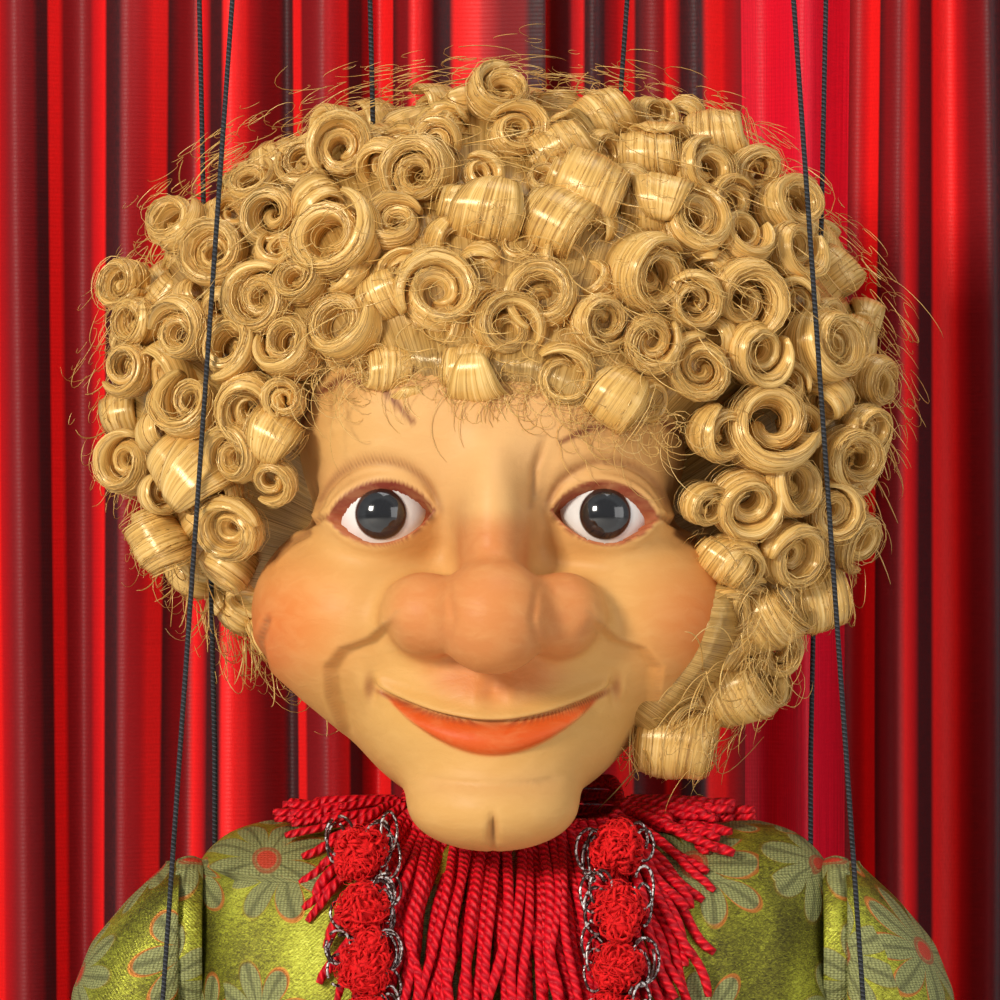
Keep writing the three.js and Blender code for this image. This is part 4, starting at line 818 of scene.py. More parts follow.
def brocade_finish():
    """Satin with woven daisies: a Voronoi cell gives each flower its place and turn, and
    the petals are where the distance from its middle is under a share of |cos(4 angle)|. Its shot look
    is painted: the ground runs from dark olive to bright lime by broad clouds of painted sheen and
    painted shade and by random tufts, and each outline has a painted highlight on one side."""
    f = Finish("daisy_brocade")
    daisy = 1 / 34
    uv = f.place("UV", (daisy, daisy, 1))
    cell = f.cells(uv, 1.0, 0.55)
    offset = f.node("VectorMath", {0: uv, 1: cell["Position"]}, operation="SUBTRACT")
    part = f.node("SeparateXYZ", {"Vector": offset.outputs["Vector"]})
    tone = f.node("SeparateColor", {"Color": cell["Color"]})
    turned = f.sum("MULTIPLY", tone.outputs[0], 6.28)
    angle = f.sum("ADD", f.sum("ARCTAN2", part.outputs[1], part.outputs[0]), turned)
    wave = f.sum("ABSOLUTE", f.sum("COSINE", f.sum("MULTIPLY", angle, 4)))
    petal = f.sum("MULTIPLY_ADD", f.sum("POWER", wave, 0.55), 0.3, 0.14)
    far = f.sum("MULTIPLY", cell["Distance"], f.sum("MULTIPLY_ADD", tone.outputs[1], 0.35, 0.85))
    inside = f.sum("SUBTRACT", petal, far)
    flower = f.ramp(inside, [(0.0, 0.0), (0.012, 1.0)])
    edge = f.ramp(f.sum("ABSOLUTE", inside), [(0.0, 1.0), (0.012, 1.0), (0.022, 0.0)])
    # Each outline is painted brighter on one side: a painted highlight
    painted_lit_side = f.ramp(f.sum("MULTIPLY_ADD", part.outputs[0], 2.2, 0.5), [(0.35, 0.0), (0.6, 1.0)])
    heart = f.ramp(far, [(0.06, 1.0), (0.075, 0.0)])
    ring = f.ramp(f.sum("ABSOLUTE", f.sum("SUBTRACT", far, 0.085)), [(0.006, 1.0), (0.016, 0.0)])
    rib = f.ramp(f.sum("MULTIPLY_ADD", f.sum("COSINE", f.sum("MULTIPLY", angle, 8)), 0.5, 0.5),
                 [(0.9, 0.0), (1.0, 1.0)])
    tuft = f.noise(f.place("UV", (0.75, 1.5, 1)), 1, 5, 0.72, 1.6)
    twill = f.waves(f.place("UV"), 0.62, 0.4, 1.0, "DIAGONAL")
    check = f.cells(f.place("UV", (1.1, 1.6, 1)), 1.0, 0.25)["Distance"]
    # Broad clouds of painted sheen and painted shade over the ground, with random tufts
    fold = f.noise(f.place("UV", (0.03, 0.012, 1)), 1, 3)
    painted_sheen_and_tufts = f.sum("MULTIPLY_ADD", fold, 0.62, f.sum("MULTIPLY", tuft, 0.6))
    ground = f.ramp(painted_sheen_and_tufts, [(0.46, (0.03, 0.022, 0.004)), (0.58, (0.16, 0.15, 0.012)),
                            (0.68, (0.42, 0.43, 0.035)), (0.8, (0.66, 0.68, 0.12))])
    petals = f.mix(f.ramp(check, [(0.2, 0.0), (0.7, 0.85)]), (0.33, 0.34, 0.12), (0.06, 0.065, 0.015))
    petals = f.mix(f.sum("MULTIPLY", rib, 0.6), petals, (0.06, 0.06, 0.015))
    colour = f.mix(flower, ground, petals)
    outline = f.sum("MULTIPLY", edge, f.sum("MULTIPLY_ADD", painted_lit_side, 0.75, 0.1))
    colour = f.mix(outline, colour, (0.55, 0.17, 0.03))
    colour = f.mix(ring, colour, (0.3, 0.1, 0.03))
    colour = f.mix(heart, colour, (0.5, 0.045, 0.015))
    raised = f.sum("MULTIPLY", f.sum("MULTIPLY", check, flower), 0.9)
    height = f.sum("ADD", f.sum("MULTIPLY", flower, 0.6), raised)
    normal = f.bump(tuft, 0.3, 0.6, f.bump(twill, 0.12, 0.5, f.bump(height, 0.32, 0.8)))
    rough = f.ramp(flower, [(0.0, 0.4), (1.0, 0.52)])
    shine = f.ramp(flower, [(0.0, 0.6), (1.0, 0.15)])
    return f.shade(Base_Color=colour, Roughness=rough, Normal=normal, Metallic=shine)


def smooth_noise(x, y, seed, size):
    """A smooth field of sines in the range of about -1 to 1, the same each run."""
    pick = np.random.default_rng(seed)
    total = 0
    for _ in range(7):
        way, phase = pick.uniform(0, 2 * np.pi), pick.uniform(0, 2 * np.pi)
        fine = pick.uniform(0.6, 1.7)
        total = total + np.sin((x * np.cos(way) + y * np.sin(way)) * fine * 2 * np.pi / size + phase)
    return total / 4


def jacket(finish):
    """Rings from the neck opening out to the shoulders and down to the hem, then back up inside. The top is
    a blend from the neck's ellipse to the shoulders' superellipse, softened by averaging neighbours."""
    around, top_rows, side_rows, thick = 260, 24, 84, 1.3
    turn = circle(around, 0.5)
    cos, sin = (squared(wave, JACKET["power"]) for wave in (np.cos(turn), np.sin(turn)))
    brink = 0.06
    a, b, back = jacket_ring(brink)
    rim = np.stack([a * cos, PUPPET_Y + back + b * sin], 1)
    wide, deep = COLLAR["wide"] + 0.8, COLLAR["deep"] + 0.8
    hole = np.stack([wide * np.cos(turn), NECK_Y + deep * np.sin(turn)], 1)
    share = np.linspace(0, 1, top_rows)[:, None, None]
    flat = hole * (1 - share) + rim * share
    top = np.concatenate([flat, jacket_top(flat[..., 0], flat[..., 1])[..., None]], 2)
    for _ in range(6):
        z = top[..., 2]
        z[1:-1] = 0.25 * z[:-2] + 0.5 * z[1:-1] + 0.25 * z[2:]
        z[:] = 0.25 * np.roll(z, 1, 1) + 0.5 * z + 0.25 * np.roll(z, -1, 1)
    downs = np.linspace(brink, 1, side_rows)[1:]
    a, b, back = (v[:, None] for v in jacket_ring(downs))
    heights = JACKET_TOP - JACKET["long"] * downs[:, None] + 0 * turn
    side = np.stack([a * cos, PUPPET_Y + back + b * sin, heights], 2)
    outer = np.concatenate([top, side])
    out = np.stack([np.cos(turn) / 1.4, np.sin(turn), 0 * turn], 1)
    run = np.clip((JACKET_TOP - outer[..., 2]) / JACKET["long"], 0, 1)
    sag = 1.3 * smooth_noise(turn * 60, run * 60, 3, 45) * ease(0.05, 0.3, run)
    sag += 2.4 * np.sin(turn * 9 + 1) * ease(0.45, 1, run)
    sag += 1.1 * smooth_noise(outer[..., 0] * 2.4, outer[..., 2], 5, 40) * ease(0.02, 0.2, run)
    outer = outer + out[None] * (sag - 0.8)[..., None] * ease(0, 0.1, np.abs(run))[..., None]
    for _ in range(16):
        low, high = top_rows - 9, top_rows + 12
        outer[low:high] = (outer[low - 1:high - 1] + 2 * outer[low:high] + outer[low + 1:high + 1]) / 4
    inner = outer.copy()
    inner[..., :2] -= out[None, :, :2] * thick
    inner[..., 2] -= thick * (1 - ease(0.03, 0.2, run))
    rings = np.concatenate([outer, inner[::-1]])
    lengths = np.linalg.norm(np.diff(outer, axis=0), axis=2).mean(1)
    run_mm = np.concatenate([[0], np.cumsum(lengths)])
    points, faces, row, column = rejoined(rings)
    rows = len(outer)
    row = np.where(row >= rows, 2 * rows - 1 - row, row)
    spot = np.concatenate([f.ravel() for f in faces])
    world = points[spot]
    # The weave runs level over the top and follows the cloth down the sides
    above = row < top_rows - 1
    belt = outer[top_rows + 20]
    arc = run_of(np.concatenate([belt, belt[:1]]))
    front = int(0.75 * around)
    ahead = outer[top_rows - 1, around // 2:]
    order = np.argsort(ahead[:, 0])
    brim = np.interp(world[:, 0], ahead[order, 0], ahead[order, 1])
    u = np.where(above, world[:, 0], arc[column] - arc[front])
    v = np.where(above, run_mm[top_rows - 1] - (world[:, 1] - brim), run_mm[row])
    skin = (points, faces, np.stack([u, v], 1))
    piece = build("brocade_jacket", skin, finish, "marionette", stands_for="jacket")
    area = cloth_area(np.concatenate([outer, outer[:, :1]], 1))


# A sleeve's rows as the model has them: share down the arm, inner and outer edge, half depth
SLEEVE_SHARES = [
    (-0.14, -1.6, -0.66, 0.4), (-0.115, -1.6, -0.42, 0.7), (-0.066, -1.6, 0.2, 0.92), (-0.005, -1.6, 0.8, 1),
    (0.066, -1.4, 1.12, 1), (0.19, -0.9, 1.18, 0.96), (0.33, -0.75, 1.24, 0.93), (0.54, -0.6, 1.4, 0.9),
    (0.77, -0.55, 1.4, 0.75), (1, -0.5, 1.35, 0.58),
]
SLEEVE = {"wide": 15.5, "deep": 24, "arm": 95, "seam": 84.4, "long": 180, "elbow": 98, "lean": 22, "fore": 87}
ARM_X = 101


def sleeves(finish):
    """Rings down the arm, flat where they meet the jacket, closed at the shoulder and turned in at the cuff.
    The folds are smooth noise, and at the elbow sines of the height."""
    around, rows_outer, thick = 84, 120, 1.4
    table = np.array(SLEEVE_SHARES)
    turn = circle(around)
    for tag, side in SIDES.items():
        share = np.concatenate([np.linspace(-0.12, 0.1, 46), np.linspace(0.1, 1, rows_outer - 45)[1:]])
        low, high, deep = (np.interp(share, table[:, 0], table[:, k]) for k in (1, 2, 3))
        even = np.ones(5) / 5
        low, high, deep = (np.convolve(np.pad(v, 2, "edge"), even, "valid") for v in (low, high, deep))
        deep = deep * np.sqrt(np.clip((share + 0.1205) / 0.035, 0.02, 1))
        sway = -SLEEVE["lean"] * np.clip(share * SLEEVE["long"] - SLEEVE["elbow"], 0, None) / SLEEVE["fore"]
        middle = SLEEVE["arm"] + SLEEVE["wide"] * (low + high) / 2
        half = SLEEVE["wide"] * (high - low) / 2
        x = middle[:, None] + half[:, None] * np.cos(turn)
        y = PUPPET_Y + sway[:, None] + SLEEVE["deep"] * deep[:, None] * np.sin(turn)
        z = PIVOT["shoulder"] - share[:, None] * SLEEVE["long"] + 0 * turn
        fold = 0.9 * smooth_noise(z * 1.2, turn * 22, 8 + side, 26) * ease(0.12, 0.35, share)[:, None]
        bend = 1.6 * bell(share[:, None] - 0.52, 0.16) * np.sin(z / 2.6 + 2 * np.sin(turn))
        bend = bend * (0.4 + 0.6 * np.clip(-np.sin(turn), 0, 1))
        x = x + (fold + bend) * np.cos(turn)
        y = y + (fold + bend) * np.sin(turn)
        x = np.maximum(x, SLEEVE["seam"] + 0.05)
        outer = np.stack([side * x, y, z], 2)
        deep_in = 100
        inner = outer[-deep_in:][::-1].copy()
        centre = inner.mean(1, keepdims=True)
        away = inner - centre
        inner = centre + away * (1 - thick / np.linalg.norm(away[..., :2], axis=2, keepdims=True))
        rings = np.concatenate([outer, inner])
        if side > 0:
            rings = rings[:, ::-1]
        points, faces, row, column = rolled(rings)
        run = np.where(row < rows_outer, row, 2 * rows_outer - 1 - row)
        u = column * (118 / around) + 140 * (side > 0)
        v = np.interp(run, np.arange(rows_outer), share * SLEEVE["long"]) + 37
        skin = (points, faces, np.stack([u, v], 1))
        piece = build(f"brocade_sleeve_{tag}", skin, finish, None, stands_for=f"sleeve_{tag}")
        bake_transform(piece)
        area = cloth_area(np.concatenate([outer, outer[:, :1]], 1))


CORD_SHEEN = (1, 0.3, 0.1)


def cord_finish(name, dark, bright, stitch):
    """Chained yarn: slanting stitches along U, a painted highlight on their backs and painted shade between.
    """
    f = Finish(name, Specular_IOR_Level=0.3, Sheen_Weight=0.04, Sheen_Roughness=0.35, Sheen_Tint=CORD_SHEEN,
               Roughness=0.5)
    along, around = f.parts()[:2]
    slant = f.sum("ADD", f.sum("DIVIDE", along, stitch), f.sum("MULTIPLY", around, 2))
    wave = f.sum("SINE", f.sum("MULTIPLY", slant, 2 * math.pi))
    fibre = f.noise(f.place("UV", (0.4, 14, 1)), 2.5, 3)
    middle = tuple((a + b) / 2 for a, b in zip(dark, bright))
    # Painted highlight on the stitches' backs and painted shade between them, with random fibre tone
    tone = f.ramp(f.sum("MULTIPLY_ADD", wave, 0.35, f.sum("MULTIPLY", fibre, 0.75)),
                  [(0.05, dark), (0.45, middle), (0.85, bright)])
    return f.shade(Base_Color=tone, Normal=f.bump(fibre, 0.12, 0.7, f.bump(wave, 0.3)))


FRINGE_LAYERS = (58, 52, 34)


def fringe():
    """Cords from the neckband, each falling from its start to the edge of a half ellipse over the jacket: at
    a share of the way, x and z are blends of both ends, and y is the jacket's front less a lift."""
    finish = cord_finish("crimson_cord", (0.46, 0.0, 0.01), (0.95, 0.006, 0.018), 2.6)
    pick = np.random.default_rng(21)
    steps, paths, radii = 26, [], []
    share = np.linspace(0, 1, steps)
    for layer, count in enumerate(FRINGE_LAYERS):
        for i in range(count):
            fan = np.pi * ((i + 0.5 + pick.uniform(-0.3, 0.3)) / count - 0.5) * (1.16 - 0.1 * layer)
            x0 = (COLLAR["wide"] - 0.5) * np.sin(fan)
            y0 = NECK_Y - (COLLAR["deep"] - 0.5) * np.cos(fan)
            z0 = 421.5 + 2.2 * layer + 3 * (1 - np.cos(fan))
            reach = np.array([62 * np.sin(fan), 59 * np.cos(fan)])
            reach = reach * pick.uniform(0.86, 1.04) * (1 - 0.06 * layer)
            wander = pick.uniform(-5, 5)
            x = x0 * (1 - share) + share * (reach[0] + wander * np.sin(share * 3 + pick.uniform(0, 3)))
            z = z0 + (CHIN - 2 - reach[1] - z0) * share ** (1.0 + 0.35 * np.abs(np.sin(fan)))
            surface = np.minimum(jacket_front(x, np.minimum(z, JACKET_TOP - 1)), PUPPET_Y + 22)
            over = jacket_top(x, np.full(steps, NECK_Y - 4.0))
            lift = 1.5 + 1.7 * layer + pick.uniform(0, 0.8)
            y = surface - lift - 1.0 * np.sin(np.pi * share) * layer
            y = y0 * (1 - ease(0, 0.35, share)) + y * ease(0, 0.35, share)
            side_way = ease(0.75, 1.0, np.abs(np.sin(fan)))
            z = z * (1 - side_way) + np.maximum(z, over + lift) * side_way
            y = y * (1 - side_way) + (NECK_Y - 2 - 14 * np.cos(fan) - 8 * share) * side_way
            path = np.stack([x, y, z], 1)
            curly = pick.uniform(0.3, 2.4) * share ** 1.5
            curly = curly * np.sin(share * pick.uniform(6, 12) + pick.uniform(0, 6))
            path = path + curly[:, None] * np.array([1, 0, 0.3])
            path = path + np.array([0, -0.6, 0]) * np.abs(curly)[:, None]
            paths.append(path)
            radii.append(1.25 * np.concatenate([np.ones(steps - 2), [0.95, 0.7]]) * pick.uniform(0.85, 1.1))
    skin = tubes(np.array(paths), np.array(radii), 7)
    build("crimson_fringe", skin, finish, "marionette", stands_for="fringe")


def neckband():
    """Plaited rows round the neck: each row is three strands that swing past each other."""
    finish = cord_finish("neckband_braid", (0.42, 0.0, 0.008), (0.92, 0.007, 0.016), 2.4)
    steps, rows, parts = 260, 5, []
    turn = circle(steps)
    bottom = 419.5
    top = 425 + 10.5 * ease(-0.75, 0.35, np.sin(turn))
    for row in range(rows):
        level = bottom + (top - bottom) * row / (rows - 1)
        shrink = 1.3 + 0.9 * row * ease(-0.75, 0.35, np.sin(turn))
        for strand in range(3):
            phase = 2 * np.pi * strand / 3
            swing = np.sin(turn * 30 + phase + row)
            dive = np.sin(2 * (turn * 30 + phase + row))
            wide = COLLAR["wide"] - shrink + 0.55 * dive
            deep = COLLAR["deep"] - shrink + 0.55 * dive
            path = np.stack([wide * np.cos(turn), NECK_Y + deep * np.sin(turn), level + 1.15 * swing], 1)
            parts.append(closed_tube(path, 0.85, 6))
    build("neckband_braid", gathered(parts), finish, "marionette", stands_for="neckband")


def closed_tube(path, radius, sides):
    """An endless tube round a closed path."""
    steps = len(path)
    along = np.roll(path, -1, 0) - np.roll(path, 1, 0)
    along /= np.linalg.norm(along, axis=1, keepdims=True)
    across = np.cross(along, (0, 0, 1.0))
    across /= np.linalg.norm(across, axis=1, keepdims=True)
    other = np.cross(along, across)
    turn = circle(sides)[None, :, None]
    rings = path[:, None] + radius * (np.cos(turn) * across[:, None] + np.sin(turn) * other[:, None])
    quads, down, around = weave(steps + 1, sides)
    quads = quads % (steps * sides)
    run = np.concatenate([[0], np.cumsum(np.linalg.norm(np.roll(path, -1, 0) - path, axis=1))])
    return rings.reshape(-1, 3), [quads], np.stack([run[down.ravel()], around.ravel() / sides], 1)


def armholes(finish):
    """A band round each shoulder's axle between the jacket's side and the sleeve's head: its radius swells by
    sin(pi share) and puckers by sin(22 turn)."""
    around, rows = 120, 12
    turn = circle(around)
    share = np.linspace(0, 1, rows)[:, None]
    for tag, side in SIDES.items():
        x = 78.5 + 7.0 * share + 0 * turn
        far = 21.6 + 1.1 * np.sin(np.pi * share) + 0.5 * np.sin(turn * 22) * share
        x = np.concatenate([x, x[::-1]])
        far = np.concatenate([far, (far - 1.4)[::-1]])
        rings = np.stack([side * x, PUPPET_Y + far * np.cos(turn), PIVOT["shoulder"] + far * np.sin(turn)], 2)
        skin = woven(rejoined(rings), 1.1, 0.6, True)
        build(f"armhole_band_{tag}", skin, finish, "marionette")


def plush_finish():
    """Matt wool, each loop its own shade of red by where it is on the UV map."""
    f = Finish("pompom_wool", Specular_IOR_Level=0.2, Sheen_Weight=0.08, Sheen_Tint=(1, 0.2, 0.1),
               Roughness=0.75)
    tone = f.noise(f.place("UV", (0.9, 3, 1)), 1, 3)
    return f.shade(Base_Color=f.ramp(tone, [(0.3, (0.5, 0.002, 0.006)), (0.7, (0.95, 0.016, 0.016))]))


def glitter_finish():
    """Dark yarn with flecks of tinsel: the cells whose random shade is over two thirds are bright."""
    f = Finish("glitter_yarn", Roughness=0.35, Metallic=0.5)
    spot = f.cells(f.place("UV", (1.6, 5, 1)))["Color"]
    tone = f.ramp(f.node("SeparateColor", {"Color": spot}).outputs[0],
                  [(0.0, (0.03, 0.012, 0.01)), (0.62, (0.07, 0.02, 0.015)), (0.7, (0.45, 0.4, 0.38)),
                   (1.0, (0.7, 0.68, 0.66))])
    return f.shade(Base_Color=tone)


POMPOM = {"radius": 7.4, "pitch": 14, "count": 5, "below": 14}
POMPOM_PLACES = {"left": -38, "right": 26}


def pile(pick, hub, radius, count, thick, swing):
    """Small loops of wool that rise from inside a ball, lean over at its surface and go back in: five points
    each, by shares of the reach outward and of the swing sideways."""
    way = pick.normal(size=(count, 3))
    way /= np.linalg.norm(way, axis=1, keepdims=True)
    side = np.cross(way, pick.normal(size=(count, 3)))
    side /= np.linalg.norm(side, axis=1, keepdims=True)
    reach = radius * pick.uniform(0.8, 1.06, (count, 1, 1))
    rise = np.array([0.66, 0.88, 1.0, 0.97, 0.8])[None, :, None]
    sweep = np.array([-1, -0.75, 0, 0.75, 1])[None, :, None] * swing * pick.uniform(0.5, 1.2, (count, 1, 1))
    paths = hub + way[:, None] * reach * rise + side[:, None] * sweep
    fine = thick * np.array([0.8, 1.0, 1.0, 0.95, 0.7])
    return tubes(paths, fine[None], 3, mark=pick.uniform(0, 40, count))


def pompoms():
    """Two chains of tufts, each a large ball of looped wool with three small ones grown into it, and loops
    of glitter yarn beside them."""
    wool, glitter = plush_finish(), glitter_finish()
    pick = np.random.default_rng(31)
    for tag, x in POMPOM_PLACES.items():
        parts, loops = [], []
        for i in range(POMPOM["count"]):
            z = JACKET_TOP - POMPOM["below"] + POMPOM["radius"] - i * POMPOM["pitch"]
            front = min(jacket_front(x, min(z, JACKET_TOP - 0.5)), jacket_front(x, z - POMPOM["radius"]))
            aside = 0 if i == 0 else pick.uniform(-1.6, 1.6)
            centre = np.array([x + aside, front - 2.5 - POMPOM["radius"], z])
            for k in range(4):
                if k == 0:
                    hub, radius = centre + np.array([0, 0.6, 0]), POMPOM["radius"] * 0.9
                    threads, hairs = 170, 70
                else:
                    hub = centre + pick.normal(size=3) * np.array([1.9, 1.2, 2.4])
                    radius = POMPOM["radius"] * pick.uniform(0.5, 0.68)
                    threads, hairs = 64, 36
                points, faces, _, _ = ball(hub, radius * 0.72, 18, 10)
                parts.append((points, faces, np.zeros((sum(f.size for f in faces), 2))))
                parts.append(pile(pick, hub, radius, threads, 0.5, 1.6))
                parts.append(pile(pick, hub, radius * 1.1, hairs, 0.14, 2.6))
            for _ in range(7):
                side = pick.choice([-1, 1])
                away = [side * pick.uniform(4, 7), pick.uniform(0.5, 3.5), pick.uniform(-6, 6)]
                hub = centre + np.array(away)
                turn = np.linspace(0, 2 * np.pi * 0.93, 26) + pick.uniform(0, 6)
                wide, tall = pick.uniform(2, 3.6), pick.uniform(3.4, 6)
                loop = np.stack([wide * np.cos(turn), 1.5 * np.sin(turn + 1), tall * np.sin(turn)], 1)
                loops.append((hub + loop)[None])
        piece = build(f"wool_pompoms_{tag}", gathered(parts), wool, "marionette",
                      stands_for=f"pompom_trim_{tag}")
        skin = gathered([tubes(loop, 0.42, 5) for loop in loops])
        build(f"glitter_loops_{tag}", skin, glitter, "marionette")


CURTAIN = {"from": 7, "to": 214, "folds": 8, "sway": 7.4, "bottom": 40, "thick": 1.1, "travel": 150}
# Its heights: the folds calm from here up, the pocket round the rod begins, its crest, and its end behind
CALM_FROM, POCKET, CREST, POCKET_END = 715, 753, 770, 748
POCKET_DEEP = 7.1
# Where each leading edge hangs below the rod: out from the middle, and behind the rod
LEADING_EDGE = {"left": (-9, -8.4), "right": (4.5, 8.6)}
STRIPES_REPEAT = 97
PANEL_MIDDLE, PANEL_HALF = 136, 22


def curtain_finish():
    """Satin with lengthwise stripes of red, crimson, maroon and near black by the fraction of U over their
    repeat, painted highlights and painted shade of pleats laid flat, and one plain crimson panel on the
    right."""
    f = Finish("satin_painted_fold_shade", Specular_IOR_Level=0.25)
    along = f.parts()[0]
    wave = f.noise(f.place("UV", (1, 0.004, 1)), 0.02, 2)
    across = f.sum("DIVIDE", f.sum("MULTIPLY_ADD", wave, 3, along), STRIPES_REPEAT)
    # The bright red and near black stripes are painted highlights and painted shade of pleats
    red, crimson = (0.95, 0.014, 0.014), (0.55, 0.008, 0.012)
    maroon, black = (0.22, 0.008, 0.011), (0.04, 0.01, 0.012)
    tone = f.ramp(f.sum("FRACT", across), [
        (0.0, black), (0.03, black), (0.045, red), (0.11, red), (0.13, crimson), (0.19, maroon),
        (0.26, maroon), (0.28, black), (0.32, black), (0.33, red), (0.37, red), (0.39, maroon),
        (0.48, maroon), (0.5, crimson), (0.56, red), (0.575, black), (0.63, black), (0.64, maroon),
        (0.7, crimson), (0.73, red), (0.78, red), (0.79, black), (0.83, maroon), (0.88, maroon), (0.9, red),
        (0.94, crimson), (0.97, black), (1.0, black)])
    thread = f.noise(f.place("UV", (3, 0.02, 1)), 1, 2)
    panel = f.mix(f.ramp(thread, [(0.3, 0.0), (0.7, 1.0)]), (0.62, 0.004, 0.02), (0.88, 0.008, 0.035))
    tone = f.mix(f.sum("COMPARE", along, PANEL_MIDDLE, PANEL_HALF), tone, panel)
    rib = f.waves(f.place("UV"), 0.28, 0.3, way="Y")
    weft = f.noise(f.place("UV", (4, 0.5, 1)), 1, 3)
    rough = f.ramp(weft, [(0.3, 0.44), (0.8, 0.6)])
    return f.shade(Base_Color=f.mix(f.ramp(weft, [(0.4, 0.0), (0.9, 0.25)]), tone, (0.32, 0.004, 0.008)),
                   Roughness=rough, Normal=f.bump(weft, 0.08, 0.6, f.bump(rib, 0.06, 0.5)))


def curtains():
    """Pleats y = sway sin(folds) that calm towards the rod, where the cloth turns over it into a pocket. Each
    leading edge runs from the pocket to its own place below in a slow S, clear of the wand."""
    finish = curtain_finish()
    columns, thick = 360, CURTAIN["thick"]
    u = np.linspace(0, 1, columns)
    span = CURTAIN["to"] - CURTAIN["from"]
    rising = np.linspace(CURTAIN["bottom"], POCKET, 40)
    front = np.linspace(POCKET, CREST, 10)[1:]
    tilt = np.linspace(0, np.pi, 9)[1:-1]
    behind = np.linspace(CREST, POCKET_END, 12)
    heights = np.concatenate([rising, front, CREST + 4 * np.sin(tilt), behind])
    depth = np.concatenate([-ease(700, POCKET, rising), np.full(9, -1.0), -np.cos(tilt), np.full(12, 1.0)])
    calm = np.concatenate([ease(CALM_FROM, POCKET, rising), np.ones(len(heights) - len(rising))])
    sway = CURTAIN["sway"] * (1 - calm)
    for tag, side in SIDES.items():
        phase = 2 * np.pi * CURTAIN["folds"] * (u + 0.012 * np.sin(9 * u + side)) + 0.4
        big = np.sin(phase) * (1 + 0.14 * np.sin(phase * 0.31 + side)) + 0.13 * np.sin(2 * phase + 1 + side)
        small = np.sin(phase * 3 + 0.7 * np.sin(phase))
        lean = 0.35 * np.sin(heights / 90)[:, None] * np.sin(phase * 0.5 + heights[:, None] / 160)
        y = sway[:, None] * (big * (0.96 + 0.05 * lean)) + depth[:, None] * POCKET_DEEP
        y = y + 1.05 * calm[:, None] * small
        drift = 1.6 * np.sin(heights / 120 + side)[:, None] * np.sin(phase * 0.37) * (1 - calm[:, None])
        x = CURTAIN["from"] + span * u[None] + drift * np.sin(np.pi * u)
        out, back = LEADING_EDGE[tag]
        edge = 1 - ease(0, 0.07, u)
        lead = edge * (1 - ease(645, POCKET, heights)[:, None])
        apart = edge * (1 - calm[:, None])
        x = x - lead * (CURTAIN["from"] - out)
        y = y * (1 - apart) + back * apart
        z = np.repeat(heights[:, None], columns, 1)
        sheet = np.stack([side * x, CURTAIN_Y + y, z], 2)
        down_way, across_way = np.gradient(sheet, axis=0), np.gradient(sheet, axis=1)
        normal = np.cross(across_way, down_way)
        normal /= np.linalg.norm(normal, axis=2, keepdims=True)
        rings = np.concatenate([sheet + normal * thick / 2, (sheet - normal * thick / 2)[:, ::-1]], 1)
        points, faces, row, column = rolled(rings)
        run = run_of(sheet[:, columns // 2])
        wide = run_of(sheet[10])
        column = column % (2 * columns)
        column = np.where(column < columns, column, 2 * columns - 1 - column)
        skin = (points, faces, np.stack([side * wide[column] + 30, run[row]], 1))
        piece = build(f"striped_curtain_{tag}", skin, finish, None, stands_for=f"curtain_{tag}")
        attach(piece, "stand")
        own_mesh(piece)
        cloth_area(sheet)


# The hair: where the photograph shows curls, as pixels across, down and radius; B is one lying on its side
CURLS = """
340,145,38 421,172,40 516,128,34 500,88,34 335,236,51 437,296,46 346,324,40 172,217,37 118,277,30
121,366,30 121,462,35 185,474,40B 586,184,40B 554,222,36B 653,147,34B 720,128,34B 691,222,38
647,273,43 599,322,32 742,297,45 797,204,40 795,246,36 825,341,42 879,379,30 610,396,36B 700,367,38
771,424,54 855,459,38 787,557,38 819,605,34B 736,688,44B 676,749,40B 215,250,38 262,300,40
228,350,38 180,330,36 190,405,38 250,405,40 238,455,36 232,530,38 290,345,34 272,210,34 395,225,32
480,210,38B 505,330,38 560,375,34 470,370,34B 395,372,32B 545,300,40 860,540,34 870,425,30
790,480,38 830,510,32 745,500,38 756,350,38 760,620,38B 705,165,34 760,165,32 300,160,28 250,180,30
150,540,30B 130,315,28 735,560,30 780,655,30 600,110,30B 560,140,30B 650,340,34 690,300,32
655,205,34B 436,140,26 380,300,26B 742,235,32 720,430,34 300,280,30 272,480,26 268,435,28B
285,400,24 705,505,26 722,560,26B 722,610,28 722,650,26B 690,715,28 668,748,30B 745,600,30
"""
# Its outline there, in pixels
OUTLINE = [
    (115, 550), (245, 566), (262, 520), (283, 470), (290, 420), (322, 388), (400, 395), (470, 408),
    (540, 405), (572, 432), (640, 438), (688, 436), (712, 500), (733, 580), (722, 640), (702, 690),
    (664, 735), (640, 775), (700, 786), (778, 705), (800, 650), (848, 608), (898, 545), (902, 480),
    (900, 400), (900, 370), (875, 330), (850, 312), (838, 240), (820, 190), (762, 140), (740, 108),
    (680, 104), (600, 108), (540, 95), (505, 66), (470, 84), (448, 112), (390, 134), (340, 112), (302, 130),
    (280, 165), (200, 182), (150, 202), (122, 248), (94, 284), (97, 330), (102, 400), (97, 460), (94, 485),
    (105, 535),
]
# How far the skin's edge lies above the curls' edge, in pixels
HAIRLINE = 30
CURL_PIECES = 8
CURL_GROWN = 1.16
HAIR_MIDDLE = np.array([-4.0, -3, 533])
HAIR_RADII = np.array([103.0, 82, 84])
# The forehead's edge of the hair, in pixels
FOREHEAD = np.array([
    (300, 400), (330, 385), (370, 385), (400, 392), (430, 400), (470, 408), (505, 408), (540, 408),
    (575, 425), (610, 440), (650, 440), (690, 438),
], float)
